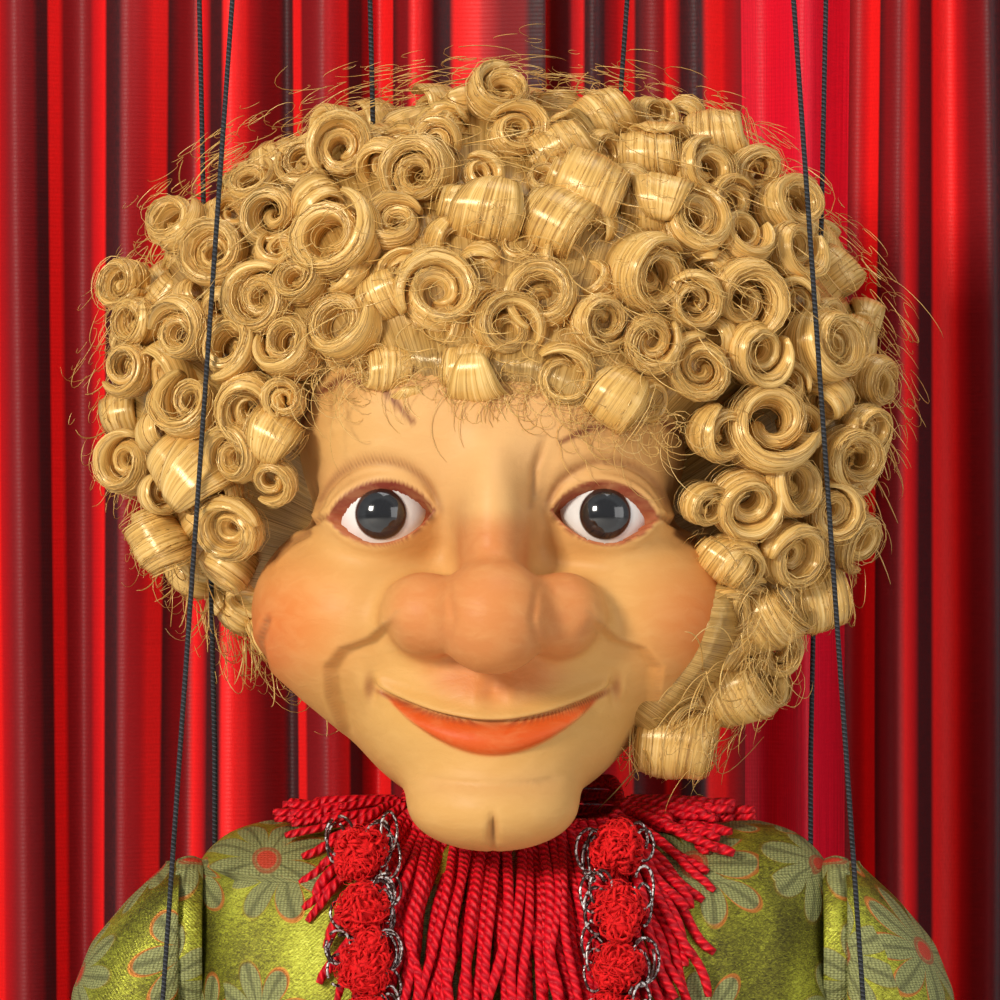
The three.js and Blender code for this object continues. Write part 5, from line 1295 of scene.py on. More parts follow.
# Loose hairs: piece, count, lift off the cap, length, radius and bend in radians
LOOSE_HAIRS = (
    ("wig_brushed_hair", 1400, (0, 6), (12, 26), 0.2, (1, 2.6)),
    ("wig_frizz", 2000, (5, 15), (12, 30), 0.1, (2.5, 6)),
    ("wig_stray_hair", 900, (12, 18), (6, 15), 0.08, (2, 5)),
)


def within(polygon, x, y):
    """Whether each point is in the polygon, by counting the sides that a level ray crosses."""
    inside = np.zeros(np.shape(x), bool)
    for (ax, ay), (bx, by) in zip(polygon, polygon[1:] + polygon[:1]):
        crosses = (ay > y) != (by > y)
        inside ^= crosses & (x < (bx - ax) * (y - ay) / (by - ay + 1e-12) + ax)
    return inside


def hair_front(x, z, share=1.0):
    """World Y of the hair's front over (x, z), on an ellipsoid whose lower half falls straight down."""
    c, r = HAIR_MIDDLE, HAIR_RADII
    up = np.where(z > c[2], (z - c[2]) / r[2], (z - c[2]) / (1.6 * r[2]))
    return c[1] - share * r[1] * np.sqrt(np.clip(1 - ((x - c[0]) / (r[0] + 4)) ** 2 - up ** 2, 0.02, 1))


def hair_finish(name, dark, middle, pale):
    """Fine streaks along the lock, a third of a millimetre wide, in clumps; the highlight lies across."""
    f = Finish(name, Anisotropic=0.75, Anisotropic_Rotation=0.25, Specular_IOR_Level=1.0,
               Specular_Tint=(1, 0.86, 0.6))
    f.feed(f.shader, {"Tangent": f.node("Tangent", direction_type="UV_MAP", uv_map="weave").outputs[0]})
    streak = f.noise(f.place("UV", (0.035, 2.6, 1)), 1, 4, 0.6)
    broad = f.noise(f.place("UV", (0.03, 0.7, 1)), 1, 2)
    blend = f.sum("MULTIPLY_ADD", streak, 0.6, f.sum("MULTIPLY", broad, 0.4))
    tone = f.ramp(blend, [(0.34, dark), (0.5, middle), (0.66, pale)])
    rough = f.ramp(streak, [(0.3, 0.24), (0.8, 0.36)])
    uneven = f.bump(streak, 0.13, 0.8, f.bump(broad, 0.4, 0.6))
    return f.shade(Base_Color=tone, Roughness=rough, Normal=uneven)


def frame_of(axis):
    """Two unit vectors across an axis."""
    axis = np.asarray(axis, float)
    help_way = np.array([0.0, 0.0, 1.0]) if abs(axis[2]) < 0.8 else np.array([1.0, 0.0, 0.0])
    a = np.cross(axis, help_way)
    a /= np.linalg.norm(a)
    return a, np.cross(axis, a)


def curl(pick, centre, radius, axis, barrel, strands):
    """A lock rolled up: its middle line is a spiral whose radius grows with the turn while it drifts along
    the axis, its section is a lobed oval, so that each turn touches the next; fine hairs lie on it and a few
    stand off."""
    a, b = frame_of(axis)
    axis = np.asarray(axis)
    hand, start = pick.choice([-1, 1]), pick.uniform(0, 2 * np.pi)
    turns = pick.uniform(1.5, 2.0)
    wide = radius * (pick.uniform(0.72, 0.95) if barrel else pick.uniform(0.5, 0.68))
    drift = radius * (pick.uniform(0.5, 0.9) if barrel else pick.uniform(0.25, 0.55))
    oval, tilt = pick.uniform(0.84, 1.0), pick.uniform(0, np.pi)
    lobes = pick.uniform(0, 6, 3)

    def path(t, u, level=1.0):
        """Points at turn shares t and section angles u, at a share of the section's size."""
        turn = start + hand * 2 * np.pi * turns * t
        ends = np.sqrt(np.clip(np.minimum(t * 9 + 0.15, (1 - t) * 6 + 0.12), 0.02, 1))
        thick = radius * (0.15 + 0.05 * t) * ends
        lobe = 1 + 0.1 * np.sin(5 * u + lobes[0] + 3 * t) + 0.06 * np.sin(9 * u + lobes[1] - 4 * t)
        r = radius * (0.13 + 0.66 * t ** 0.85) + thick * np.cos(u) * lobe * level
        squeeze = 1 - (1 - oval) * np.cos(turn - tilt) ** 2
        move = drift * (t - 0.6) + wide * (0.6 + 0.4 * t) * ends * np.sin(u) * lobe * level
        right, up = r * np.cos(turn) * squeeze, r * np.sin(turn) * squeeze
        return centre + right[..., None] * a + up[..., None] * b + move[..., None] * axis

    steps, around = (50, 16) if strands > 30 else (36, 12) if strands > 8 else (24, 8)
    t = np.linspace(0, 1, steps)
    u = circle(around)
    rings = path(t[:, None] + 0 * u, u + 0 * t[:, None])
    points, faces, row, column = rolled(rings)
    arc = 2 * np.pi * radius * 0.55 * turns
    parts = [(points, faces, np.stack([t[row] * arc, column / around * 2.6 * wide + pick.uniform(0, 50)], 1))]
    lying = (strands, (1.0, 1.1), 1.3, (0.09, 0.2))
    standing = (strands // 4, (1.15, 1.9), 3, (0.07, 0.1))
    for count, level, spread, thin in (lying, standing):
        bits = 14 if strands > 8 else 10
        share = np.linspace(0, 1, bits)
        low, high = pick.uniform(0, 0.6, (count, 1)), pick.uniform(0.75, 1.0, (count, 1))
        own = low + (high - low) * share
        side = pick.normal(0.6, spread, (count, 1)) + pick.uniform(-1.2, 1.2, (count, 1)) * own
        lift = pick.uniform(*level, (count, 1)) + 0.05 * np.sin(own * pick.uniform(5, 14, (count, 1)))
        fine = np.concatenate([[0.4], np.ones(bits - 3), [0.8, 0.4]])
        parts.append(tubes(path(own, side, lift), fine[None] * pick.uniform(*thin, (count, 1)), 3,
                           mark=pick.uniform(0, 90, count)))
    return parts


def hairy(p):
    """How far inside the hair's region each world point is, from 0 to 1: in front by the photograph's
    outline, averaged over five pixels, and behind by height."""
    px = CHIN_PIXEL[0] + p[..., 0] / PIXEL
    py = CHIN_PIXEL[1] - (p[..., 2] - CHIN) / PIXEL + HAIRLINE
    ahead = 0
    for dx, dy in ((0, 0), (12, 0), (-12, 0), (0, 10), (0, -10)):
        ahead = ahead + within(OUTLINE, px + dx, py + dy) / 5
    floor = 462 - 22 * ease(-10, 50, p[..., 0])
    behind = ease(floor - 3, floor + 5, p[..., 2])
    share = ease(-42, -22, p[..., 1])
    return ahead * (1 - share) + behind * share


def seen_curls(pick):
    """The curls that the photograph shows, on the hair's front: middle, radius, axis, whether it lies on its
    side, and how many hairs it has."""
    found = []
    c, r = HAIR_MIDDLE, HAIR_RADII
    for word in CURLS.split():
        barrel = word.endswith("B")
        px, py, size = (float(v) for v in word.rstrip("B").split(","))
        x, z = photo(px, py)
        y = float(hair_front(x, z)) + 9 + (4 if x * x > 8000 else 0)
        size = size * PIXEL * CURL_GROWN
        if barrel:
            angle = pick.uniform(-0.6, 0.6) + (0 if abs(x) < 60 else 0.5 * np.sign(x))
            axis = np.array([np.cos(angle), pick.uniform(-0.35, 0.35), np.sin(angle)])
        else:
            outward = 0.9 * (x - c[0]) / r[0] + pick.uniform(-0.35, 0.35)
            upward = 0.5 * (z - c[2]) / r[2] + pick.uniform(-0.35, 0.35)
            axis = np.array([outward, -1, upward])
        found.append((np.array([x, y, z]), size, axis / np.linalg.norm(axis), barrel, 36))
    return found


def curl_spots(pick):
    """The curls seen, small ones wherever the outline leaves room between them, and others all round the
    back on a golden-angle spiral over the hair's ellipsoid, each kept off the ones before."""
    found = seen_curls(pick)
    c, r = HAIR_MIDDLE, HAIR_RADII
    for px, py in zip(pick.uniform(95, 900, 900), pick.uniform(80, 780, 900)):
        x, z = photo(px, py)
        near = min(np.hypot(x - other[0][0], z - other[0][2]) for other in found)
        if near < 8.5:
            continue
        if not within(OUTLINE, np.array([px - 22, px + 22, px]), np.array([py, py, py + 26])).all():
            continue
        axis = np.array([pick.uniform(-1, 1), -1, pick.uniform(-1, 1)])
        place = np.array([x, float(hair_front(x, z)) + 12, z])
        found.append((place, pick.uniform(7, 8.6), axis / np.linalg.norm(axis), False, 12))
    count = 620
    i = np.arange(count)
    level = 1 - 2 * (i + 0.5) / count
    turn = i * np.pi * (3 - 5 ** 0.5)
    flat = np.sqrt(1 - level ** 2)
    for ux, uy, uz in np.stack([flat * np.cos(turn), flat * np.sin(turn), level], 1):
        size = pick.uniform(7.4, 10.4)
        spot = c + (r - size * 0.95) * np.array([ux, uy, uz]) * pick.uniform(0.94, 1.02)
        if uz < 0:
            spot[2] = c[2] + (spot[2] - c[2]) * (1.02 if spot[0] < 20 else 1.12)
        if spot[1] < -34 or spot[2] < 455 - 8 * (spot[0] > 10):
            continue
        if min(np.linalg.norm(spot - other[0]) for other in found) < 11.2:
            continue
        out = np.array([ux, uy, uz]) / r
        out /= np.linalg.norm(out)
        a, b = frame_of(out)
        turned = pick.uniform(0, np.pi)
        lying = np.cos(turned) * a + np.sin(turned) * b
        barrel = pick.uniform() < 0.45
        axis = lying + out * pick.uniform(0, 0.5) if barrel else out + 0.5 * lying
        found.append((spot, size, axis / np.linalg.norm(axis), barrel, 4))
    return found


def wig():
    """A cap of brushed hair over the skull, coloured darker as painted shade, rolled curls all over it, loose
    hairs between them and round the outline. The cap's reach from the star centre is the larger of skull and
    ellipsoid where hair grows."""
    pick = np.random.default_rng(51)
    gold = hair_finish("blond_curls", (0.32, 0.15, 0.03), (0.74, 0.445, 0.12), (1, 0.73, 0.32))
    # The cap is a darker copy of the curls' finish: painted shade under them
    shaded_cap_finish = hair_finish("blond_painted_shade_underneath", (0.2, 0.095, 0.02), (0.42, 0.24, 0.06), (0.66, 0.42, 0.14))
    tilt, turn = latitudes(130), circle(200)
    way = directions(tilt, turn)
    skull = star_reach(way, 40) * FACE
    star = HEAD_AT + STAR * FACE
    r = HAIR_RADII - np.array([9, 9, 8])
    q, w = (star - HAIR_MIDDLE) / r, way / r
    half = (q * w).sum(-1)
    square = (w * w).sum(-1)
    envelope = (-half + np.sqrt(np.clip(half ** 2 - square * ((q * q).sum() - 1), 0, None))) / square
    cover = hairy(star + way * (skull + 4)[..., None])
    for _ in range(3):
        cover = (cover + np.roll(cover, 1, 1) + np.roll(cover, -1, 1)) / 3
        cover[1:-1] = (cover[2:] + cover[1:-1] + cover[:-2]) / 3
    lumps = smooth_noise(turn[None] * 40 + 0 * tilt[:, None], tilt[:, None] * 60, 7, 30)
    full = np.maximum(skull + 3, envelope + 2 * lumps)
    reach = (skull - 14) * (1 - ease(0.25, 0.75, cover)) + full * ease(0.25, 0.75, cover)
    cap = star + way * reach[..., None]
    build("wig_cap", woven(rolled(cap), 2.2, 1.3, True), shaded_cap_finish, "head", stands_for="wig")
    spots = curl_spots(pick)
    for number in range(CURL_PIECES):
        batch = [part for spot in spots[number::CURL_PIECES] for part in curl(pick, *spot)]
        build(f"wig_curls_{number + 1}", gathered(batch), gold, "head")
    loose_hairs(pick, gold, way, cap, cover)


def loose_hairs(pick, finish, way, cap, cover):
    """Arcs of fine hair: brushed close to the cap, frizzed among the curls, and standing off the outline."""
    places = np.argwhere(cover > 0.8)
    places = places[(places[:, 0] > 2) & (places[:, 0] < len(cap) - 3)]
    for name, count, lift, length, thick, bend in LOOSE_HAIRS:
        chosen = places[pick.integers(0, len(places), count)]
        out = way[chosen[:, 0], chosen[:, 1]]
        start = cap[chosen[:, 0], chosen[:, 1]] + out * pick.uniform(*lift, (count, 1))
        parts = hair_arcs(pick, start, out, pick.uniform(*length, count), pick.uniform(*bend, count), thick)
        build(name, parts, finish, "head")
    count = 200
    share = pick.uniform(0, len(FOREHEAD) - 1.001, count)
    low = share.astype(int)
    spot = FOREHEAD[low] + (share - low)[:, None] * (FOREHEAD[low + 1] - FOREHEAD[low])
    spot = spot + pick.uniform((-8, -30), (8, -4), (count, 2))
    x, z = photo(spot[:, 0], spot[:, 1])
    start = np.stack([x, hair_front(x, z, 0.93) - 1, z], 1)
    out = np.stack([0 * x, -np.ones(count), 0 * x], 1)
    length, bend = pick.uniform(10, 24, count), pick.uniform(2.5, 6, count)
    parts = hair_arcs(pick, start, out, length, bend, 0.1, fall=0.35)
    build("wig_forehead_wisps", parts, finish, "head")


def hair_arcs(pick, start, out, length, bend, thick, fall=0.0):
    """Each hair bends evenly, as an arc of a circle in the plane across its outward way, and rises or falls
    along it."""
    count, steps = len(start), 10
    lean = np.cross(out, pick.normal(size=(count, 3)))
    lean /= np.linalg.norm(lean, axis=1, keepdims=True)
    other = np.cross(out, lean)
    t = np.linspace(0, 1, steps)[None, :, None]
    long, bend = length[:, None, None], bend[:, None, None]
    arc = (lean[:, None] * np.sin(bend * t) + other[:, None] * (1 - np.cos(bend * t))) * long / bend
    rise = out[:, None] * (pick.uniform(-0.12, 0.2 * (fall == 0), (count, 1, 1)) * long * t)
    drop = np.array([0, 0, -1.0]) * fall * long * t
    fine = thick * np.concatenate([np.ones(steps - 3), [0.9, 0.7, 0.4]])
    return tubes(start[:, None] + arc + rise + drop, fine[None], 3, mark=pick.uniform(0, 90, count))


# The stand and the limbs: profiles are (radius, height) pairs in millimetres, from the model's own lengths
STAGE_TOP = 26
POST_X = 235
BEAM_TOP = 862
RISE = 812
ROD = 5
# Rings bent from wire: radius and wire's radius
WAND_RING = (8.6, 1.4)
EYELET_RING = (6, 1.4)
HOOK_BOWL = 8
HOOK_WIRE = 2


def wood_finish(name, dark, middle, pale, along, gloss, fine=1.0):
    """Grain stretched along one axis: rings as a warped wave across it, darker pores as short strokes."""
    f = Finish(name, Coat_Weight=gloss, Coat_Roughness=0.22)

    def stretched(across, length):
        scale = [across, across, across]
        scale[along] = length
        return f.place("Object", tuple(scale))

    ring = f.noise(stretched(34, 2.2), 1, 4, 0.6, 1.2)
    line = f.noise(stretched(260 * fine, 5), 1, 4, 0.65)
    pore = f.noise(stretched(900 * fine, 22), 1, 2)
    tone = f.ramp(f.sum("MULTIPLY_ADD", ring, 0.55, f.sum("MULTIPLY", line, 0.45)),
                  [(0.34, dark), (0.5, middle), (0.66, pale)])
    tone = f.mix(f.ramp(pore, [(0.58, 0.0), (0.72, 0.55)]), tone, tuple(v * 0.45 for v in dark))
    rough = f.ramp(line, [(0.3, 0.36), (0.7, 0.52)])
    return f.shade(Base_Color=tone, Roughness=rough, Normal=f.bump(pore, -0.12, 0.6, f.bump(line, 0.12, 0.6)))


def metal_finish(name, dark, bright, rough):
    """Worn polish: fine rub marks and a little dulling in clouds."""
    f = Finish(name, Metallic=1.0)
    cloud = f.noise(f.place("Object"), 40, 4)
    rub = f.noise(f.place("Object", (1, 1, 0.08)), 1400, 3)
    dull = f.sum("MULTIPLY_ADD", cloud, 0.6, f.sum("MULTIPLY", rub, 0.4))
    return f.shade(Base_Color=f.ramp(cloud, [(0.3, dark), (0.65, bright)]),
                   Roughness=f.ramp(dull, [(0.3, rough * 0.7), (0.75, rough * 1.5)]),
                   Normal=f.bump(rub, 0.02, 0.4))


def plain_finish(name, low, high, rough, scale, deep, **shader):
    """A matt coat with a fine grain: rubber, leather."""
    f = Finish(name, **shader)
    grain = f.noise(f.place("Object"), scale, 4)
    cell = f.cells(f.place("Object"), scale * 0.9, flat="3D")["Distance"]
    return f.shade(Base_Color=f.ramp(grain, [(0.3, low), (0.7, high)]),
                   Roughness=f.ramp(grain, [(0.3, rough), (0.8, rough + 0.15)]),
                   Normal=f.bump(cell, deep, 0.7))


def cloth_finish(name, low, high, pitch, deep):
    """Knitted or ribbed cloth on U round the limb and V down it: painted highlight on the ribs' crests
    and painted shade between them.
    """
    f = Finish(name, Roughness=0.75, Sheen_Weight=0.15)
    rib = f.waves(f.place("UV"), pitch, 0.6, 1.0)
    course = f.waves(f.place("UV"), pitch * 0.7, 0.6, way="Y")
    fuzz = f.noise(f.place("UV", (2, 2, 1)), 1, 3)
    both = f.sum("MULTIPLY", rib, course)
    # The ribs' relief also sets the tone: painted highlight on crests, painted shade between, and random fuzz
    tone = f.sum("MULTIPLY_ADD", both, 0.5, f.sum("MULTIPLY", fuzz, 0.5))
    return f.shade(Base_Color=f.ramp(tone, [(0.1, low), (0.6, high)]), Normal=f.bump(both, deep, 0.8))


def rounded(profile, soft, steps=5):
    """A profile with each inner corner turned: a quadratic curve between points just short of the corner."""
    profile = np.array(profile, float)
    out = [profile[0]]
    for a, b, c in zip(profile[:-2], profile[1:-1], profile[2:]):
        reach = min(soft, np.linalg.norm(b - a) * 0.45, np.linalg.norm(c - b) * 0.45)
        start = b + (a - b) / max(np.linalg.norm(a - b), 1e-9) * reach
        end = b + (c - b) / max(np.linalg.norm(c - b), 1e-9) * reach
        t = np.linspace(0, 1, steps)[:, None]
        out.extend((1 - t) ** 2 * start + 2 * t * (1 - t) * b + t ** 2 * end)
    out.append(profile[-1])
    return np.array(out)


def lathe(profile, place, around=72, soft=1.2):
    """A profile spun about Z: x = r cos, y = r sin; its ends close on the axis."""
    profile = rounded(profile, soft)
    profile[:, 0] = np.maximum(profile[:, 0], 0.05)
    turn = circle(around)
    rings = np.stack([profile[:, :1] * np.cos(turn), profile[:, :1] * np.sin(turn),
                      profile[:, 1:] + 0 * turn], 2) + np.array(place, float)
    points, faces, row, column = rolled(rings)
    return points, faces, np.stack([column * (60 / around), run_of(profile)[row]], 1)


def torus(radius, thick, place, around=64, sides=16):
    """A ring standing in the YZ plane: (r + t cos s) out from its middle, t sin s along X."""
    turn, spin = circle(around)[:, None], circle(sides)
    far = radius + thick * np.cos(spin)
    rings = np.stack([thick * np.sin(spin) + 0 * turn, far * np.cos(turn), far * np.sin(turn)], 2)
    rings = rings + np.array(place, float)
    quads, down, across = weave(around + 1, sides)
    uv = np.stack([down.ravel() * (2 * np.pi * radius / around), across.ravel() / sides], 1)
    return rings.reshape(-1, 3), [quads % (around * sides)], uv


def posts(oak):
    """Each post is a foot, three beads with a cove above and below, and a cap, with a tenon at both ends; the
    finial on it is an acorn."""
    foot = [(0, -11.5), (7, -11.5), (7, 0.3), (17, 0.3), (17, 3), (15.6, 5), (15.6, 21), (17, 23), (17, 26),
            (9, 31)]
    bead = [(9, 10), (7.6, 6.5), (10.5, 5), (13.6, 3.2)]
    cap = [(9, -10), (12.5, -7.5), (15, -4), (15, 0), (7, 0), (7, 11.4), (0, 11.4)]
    shape = list(foot)
    for share in (0.1, 0.45, 0.8):
        z = share * RISE
        shape += [(r, z - off) for r, off in bead] + [(15, z)] + [(r, z + off) for r, off in bead[::-1]]
    shape += [(r, RISE - 0.3 + off) for r, off in cap]
    acorn = [(0, -6), (4, -6), (4, 0.3), (11, 0.3), (11, 4), (8, 6.5), (5, 10), (7.4, 12.6), (11, 15.8),
             (12.9, 20.5), (13, 25), (11.6, 30), (8.6, 34), (5, 37), (4.4, 39.4), (0, 40.5)]
    for tag, side in SIDES.items():
        for name, node, profile, z in (("turned_post", "post", shape, STAGE_TOP),
                                       ("turned_finial", "finial", acorn, BEAM_TOP)):
            skin = lathe(profile, (side * POST_X, CURTAIN_Y, z), 52, 1.0)
            build(f"{name}_{tag}", skin, oak, "stand", stands_for=f"{node}_{tag}")


def fittings(brass, rubber):
    """Rod, wands, eyelet, hook and feet, each a lathe, a ring or a wire along a smooth line."""
    end = POST_X - 9 + 6.4
    turn = circle(48)
    x = np.array([-end, -end + 0.8, end - 0.8, end])[:, None]
    r = np.array([4.2, ROD, ROD, 4.2])[:, None]
    rings = np.stack([x + 0 * turn, CURTAIN_Y + r * np.cos(turn), RAIL_Z + r * np.sin(turn)], 2)
    build("brass_rod", rolled(rings)[:2], brass, "stand", stands_for="curtain_rod")
    wand = [(0, 0), (1.6, 0.7), (2.5, 2.5), (2.2, 40), (1.5, 189), (2.2, 189.6), (2.2, 191.4), (0, 192)]
    for tag, side in SIDES.items():
        hang = WAND_RING[0] - WAND_RING[1] - ROD - 0.3
        place = np.array([side * 3.2, CURTAIN_Y, RAIL_Z - hang])
        stick = lathe(wand, place - np.array([0, 0, WAND_RING[0] + 190]), 32, 0.6)
        skin = gathered([torus(*WAND_RING, place), stick])
        build(f"brass_wand_{tag}", skin, brass, f"curtain_draw_{tag}",
              stands_for=f"curtain_wand_{tag}")
    low, high = (np.array(v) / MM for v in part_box("control_eyelet"))
    ring_z = high[2] - 7.4
    shank = lathe([(0, low[2]), (1.2, low[2]), (1.4, low[2] + 0.6), (1.4, ring_z - 5.4), (0, ring_z - 5)],
                  (0, PUPPET_Y, 0), 28, 0.4)
    skin = gathered([torus(*EYELET_RING, (0, PUPPET_Y, ring_z)), shank])
    build("brass_eyelet", skin, brass, "marionette", stands_for="control_eyelet")
    low, high = (np.array(v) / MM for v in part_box("swivel_hook"))
    drop, seat, bowl, steps = low[2] + HOOK_WIRE, high[2] - 10, HOOK_BOWL, 90
    knots = np.array([
        (0, seat + 4), (0, seat - 8), (0, drop + 3.4 * bowl), (-0.1, drop + 2.8 * bowl),
        (-bowl * 0.72, drop + 2 * bowl), (-bowl, drop + bowl), (-bowl * 0.72, drop + bowl * 0.3), (0, drop),
        (bowl * 0.72, drop + bowl * 0.3), (bowl, drop + bowl), (bowl * 1.1, drop + 13)])
    path = smooth_path(knots, steps)
    path = np.stack([path[:, 0], np.full(steps, float(PUPPET_Y)), path[:, 1]], 1)
    radii = HOOK_WIRE * np.concatenate([np.ones(steps - 4), [0.97, 0.85, 0.62, 0.3]])
    knob = [(0, 0), (6.4, 0), (8, 2.6), (7.6, 5), (5.8, 8), (3, 9.6), (0, 10)]
    knob = lathe([(r, seat + up) for r, up in knob], (0, PUPPET_Y, 0), 48, 1)
    skin = gathered([tubes(path[None], radii[None], 16), knob])
    build("brass_hook", skin, brass, "hook", stands_for="swivel_hook")
    for name in ("front_left", "front_right", "back_left", "back_right"):
        low, high = (np.array(v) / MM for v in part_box(f"foot_{name}"))
        middle = (low + high) / 2
        foot = [(0, 0), (11, 0), (12, 0.6), (15, 3), (15, 7.7), (0, 7.7)]
        skin = lathe(foot, (middle[0], middle[1], 0), 56, 0.8)
        build(f"rubber_foot_{name}", skin, rubber, "stand", stands_for=f"foot_{name}")


def smooth_line(knots, way, count):
    """Catmull-Rom through knots, sampled evenly over the distances given for them."""
    t = np.linspace(0, way[-1], count)
    i = np.clip(np.searchsorted(way, t, side="right") - 1, 0, len(knots) - 2)
    u = ((t - way[i]) / (way[i + 1] - way[i]))[:, None]
    before, after = knots[np.maximum(i - 1, 0)], knots[np.minimum(i + 2, len(knots) - 1)]
    a, b = knots[i], knots[i + 1]
    ma, mb = (b - before) / 2, (after - a) / 2
    return ((2 * u ** 3 - 3 * u ** 2 + 1) * a + (u ** 3 - 2 * u ** 2 + u) * ma
            + (-2 * u ** 3 + 3 * u ** 2) * b + (u ** 3 - u ** 2) * mb)


def smooth_path(knots, count):
    """The same by the knots' own distances."""
    return smooth_line(knots, run_of(knots), count)


def lofted(top, x, y, rows, power, around, steps):
    """Rings of level superellipses below a height, smoothed between rows of drop, half width, half depth
    and how far back, if not 0."""
    rows = np.array([(top - drop, a, b, x, y + sum(back)) for drop, a, b, *back in rows], float)
    way = np.concatenate([[0], np.cumsum(np.abs(np.diff(rows[:, 0])) + 0.01)])
    fine = smooth_line(rows, way, steps)
    turn = circle(around)
    z, a, b, x, y = (fine[:, k:k + 1] for k in range(5))
    x = x + np.maximum(a, 0.05) * squared(np.cos(turn), power)
    y = y + np.maximum(b, 0.05) * squared(np.sin(turn), power)
    return np.stack([x, y, z + 0 * turn], 2)


def flesh_finish():
    """Flesh paint in two tones by clouds, with brush marks."""
    f = Finish("painted_hand", Specular_IOR_Level=0.25)
    cloud = f.noise(f.place("Object"), 45, 3)
    brush = f.noise(f.place("Object", (1, 1, 0.4)), 260, 3)
    tone = f.mix(f.ramp(cloud, [(0.35, 0.0), (0.75, 0.6)]), (0.68, 0.38, 0.12), (0.66, 0.27, 0.07))
    rough = f.ramp(brush, [(0.2, 0.42), (0.8, 0.6)])
    return f.shade(Base_Color=tone, Roughness=rough, Normal=f.bump(brush, 0.08, 0.7))


# Level rows of the limbs, from the joint above: drop, half width, half depth and how far back, if not 0
PALM = [
    (-5, 3, 4.8), (2, 3.4, 5.6), (8, 3.6, 5.6), (11, 4.6, 8.4), (16, 5.4, 10.8), (22, 5, 11.2), (26, 4, 10.6),
    (28.5, 2.4, 9.4), (29.3, 0.4, 5),
]
BREECHES = [
    (-8.6, 2.6, 3), (-7, 3.4, 7.4), (0, 3.5, 8.7), (12, 3.5, 8), (20, 6, 8.5), (26, 11, 12), (36, 16.6, 17.6),
    (52, 17, 18), (66, 16.4, 17.4), (76, 14.4, 15.2), (81, 12.2, 13), (83, 11.4, 12.1), (88, 11.6, 12.2),
    (97, 11.2, 11.8), (102, 10.8, 11.4), (102.8, 9.4, 10),
]
STOCKING = [
    (-8.2, 2.4, 3), (-6, 3.4, 6.6), (0, 3.5, 8.3), (9, 3.5, 7.2), (14, 8.2, 8.4), (22, 10, 10.4, 0.6),
    (33, 10.9, 11.8, 1.4), (46, 10, 10.6, 1), (58, 8.2, 8.2), (68, 7.2, 7.2), (72, 6.9, 6.9),
    (73.6, 3.5, 5.6), (83, 3.5, 6.9), (88, 3.5, 4.4), (90, 2.6, 1.6),
]
# Fingers: shares of the longest one's reach; then the shares of a finger's and the thumb's radius at the tip
FINGERS = (0.9, 1, 0.97, 0.84)
FINGER_REACH = 44
FINGER_PITCH = 5.27
FINGER_TIP = [0.95, 0.9, 0.8, 0.62, 0.4, 0.1]
THUMB_TIP = [0.98, 0.95, 0.93, 0.95, 0.98, 0.97, 0.93, 0.86, 0.75, 0.6, 0.4, 0.1]
LEG_X = 27


def hands(flesh):
    """A palm of level ovals that runs up into the wrist's tongue, and four fingers and a thumb as tapering
    tubes along smooth lines, narrower between the knuckles by sin^2."""
    knuckled = 1 - 0.07 * np.sin(np.linspace(0, 3 * np.pi, 18)) ** 2
    finger = 2.7 * np.concatenate([np.linspace(0.8, 1, 6), knuckled, FINGER_TIP])
    thumb = 3.4 * np.concatenate([np.ones(18), THUMB_TIP])
    for tag, side in SIDES.items():
        x, y, z = side * ARM_X, PUPPET_Y - 22, PIVOT["wrist"]
        parts = [woven(rolled(lofted(z, x, y, PALM, 2.3, 56, 60)), 0.8, 0.5)]
        for i, length in enumerate(FINGERS):
            off = (i - 1.5) * FINGER_PITCH
            tip = FINGER_REACH * length
            knots = np.array([
                (x, y + off * 0.96, z - 23), (x - side * 0.2, y + off, z - 28), (x, y + off * 1.04, z - 35),
                (x - side * 1.2, y + off * 1.05, z - 35 - (tip - 35) * 0.5),
                (x - side * 3.0, y + off * 1.03, z - tip)])
            parts.append(tubes(smooth_path(knots, 30)[None], finger[None], 18))
        knots = np.array([
            (x, y - 4, z - 10), (x, y - 9, z - 15), (x, y - 13.6, z - 20), (x, y - 16.5, z - 26),
            (x - side * 0.6, y - 17.4, z - 31)])
        parts.append(tubes(smooth_path(knots, 30)[None], thumb[None], 18))
        build(f"carved_hand_{tag}", gathered(parts), flesh, f"hand_{tag}",
              stands_for=f"hand_{tag}")


def legs(breeches, stocking, leather):
    """Breeches gathered at the knee by sines round the leg, stockings with the calf behind, and shoes."""
    hip, knee, ankle = PIVOT["hip"], PIVOT["knee"], PIVOT["ankle"]
    around = 76
    turn = circle(around)
    for tag, side in SIDES.items():
        x, y = side * LEG_X, PUPPET_Y
        rings = lofted(hip, x, y, BREECHES, 2.1, around, 96)
        share = np.clip((hip - rings[..., 2]) / 100, 0, 1)
        fold = 0.55 * np.sin(turn * 14 + 2 * np.sin(turn * 3))
        fold = fold * ease(0.5, 0.78, share) * (1 - ease(0.84, 0.9, share))
        fold += 0.5 * smooth_noise(turn[None] * 16, share * 60, 61, 24) * ease(0.25, 0.4, share)
        rings[..., 0] += fold * np.cos(turn)
        rings[..., 1] += fold * np.sin(turn)
        skin = woven(rolled(rings), 105 / around, 1.17)
        build(f"knee_breeches_{tag}", skin, breeches, f"thigh_{tag}", stands_for=f"thigh_{tag}")
        skin = woven(rolled(lofted(knee, x, y, STOCKING, 2.0, 48, 84)), 60 / 48, 1.05)
        build(f"stocking_{tag}", skin, stocking, f"shin_{tag}", stands_for=f"shin_{tag}")
        shoe(tag, x, ankle - 22, leather)


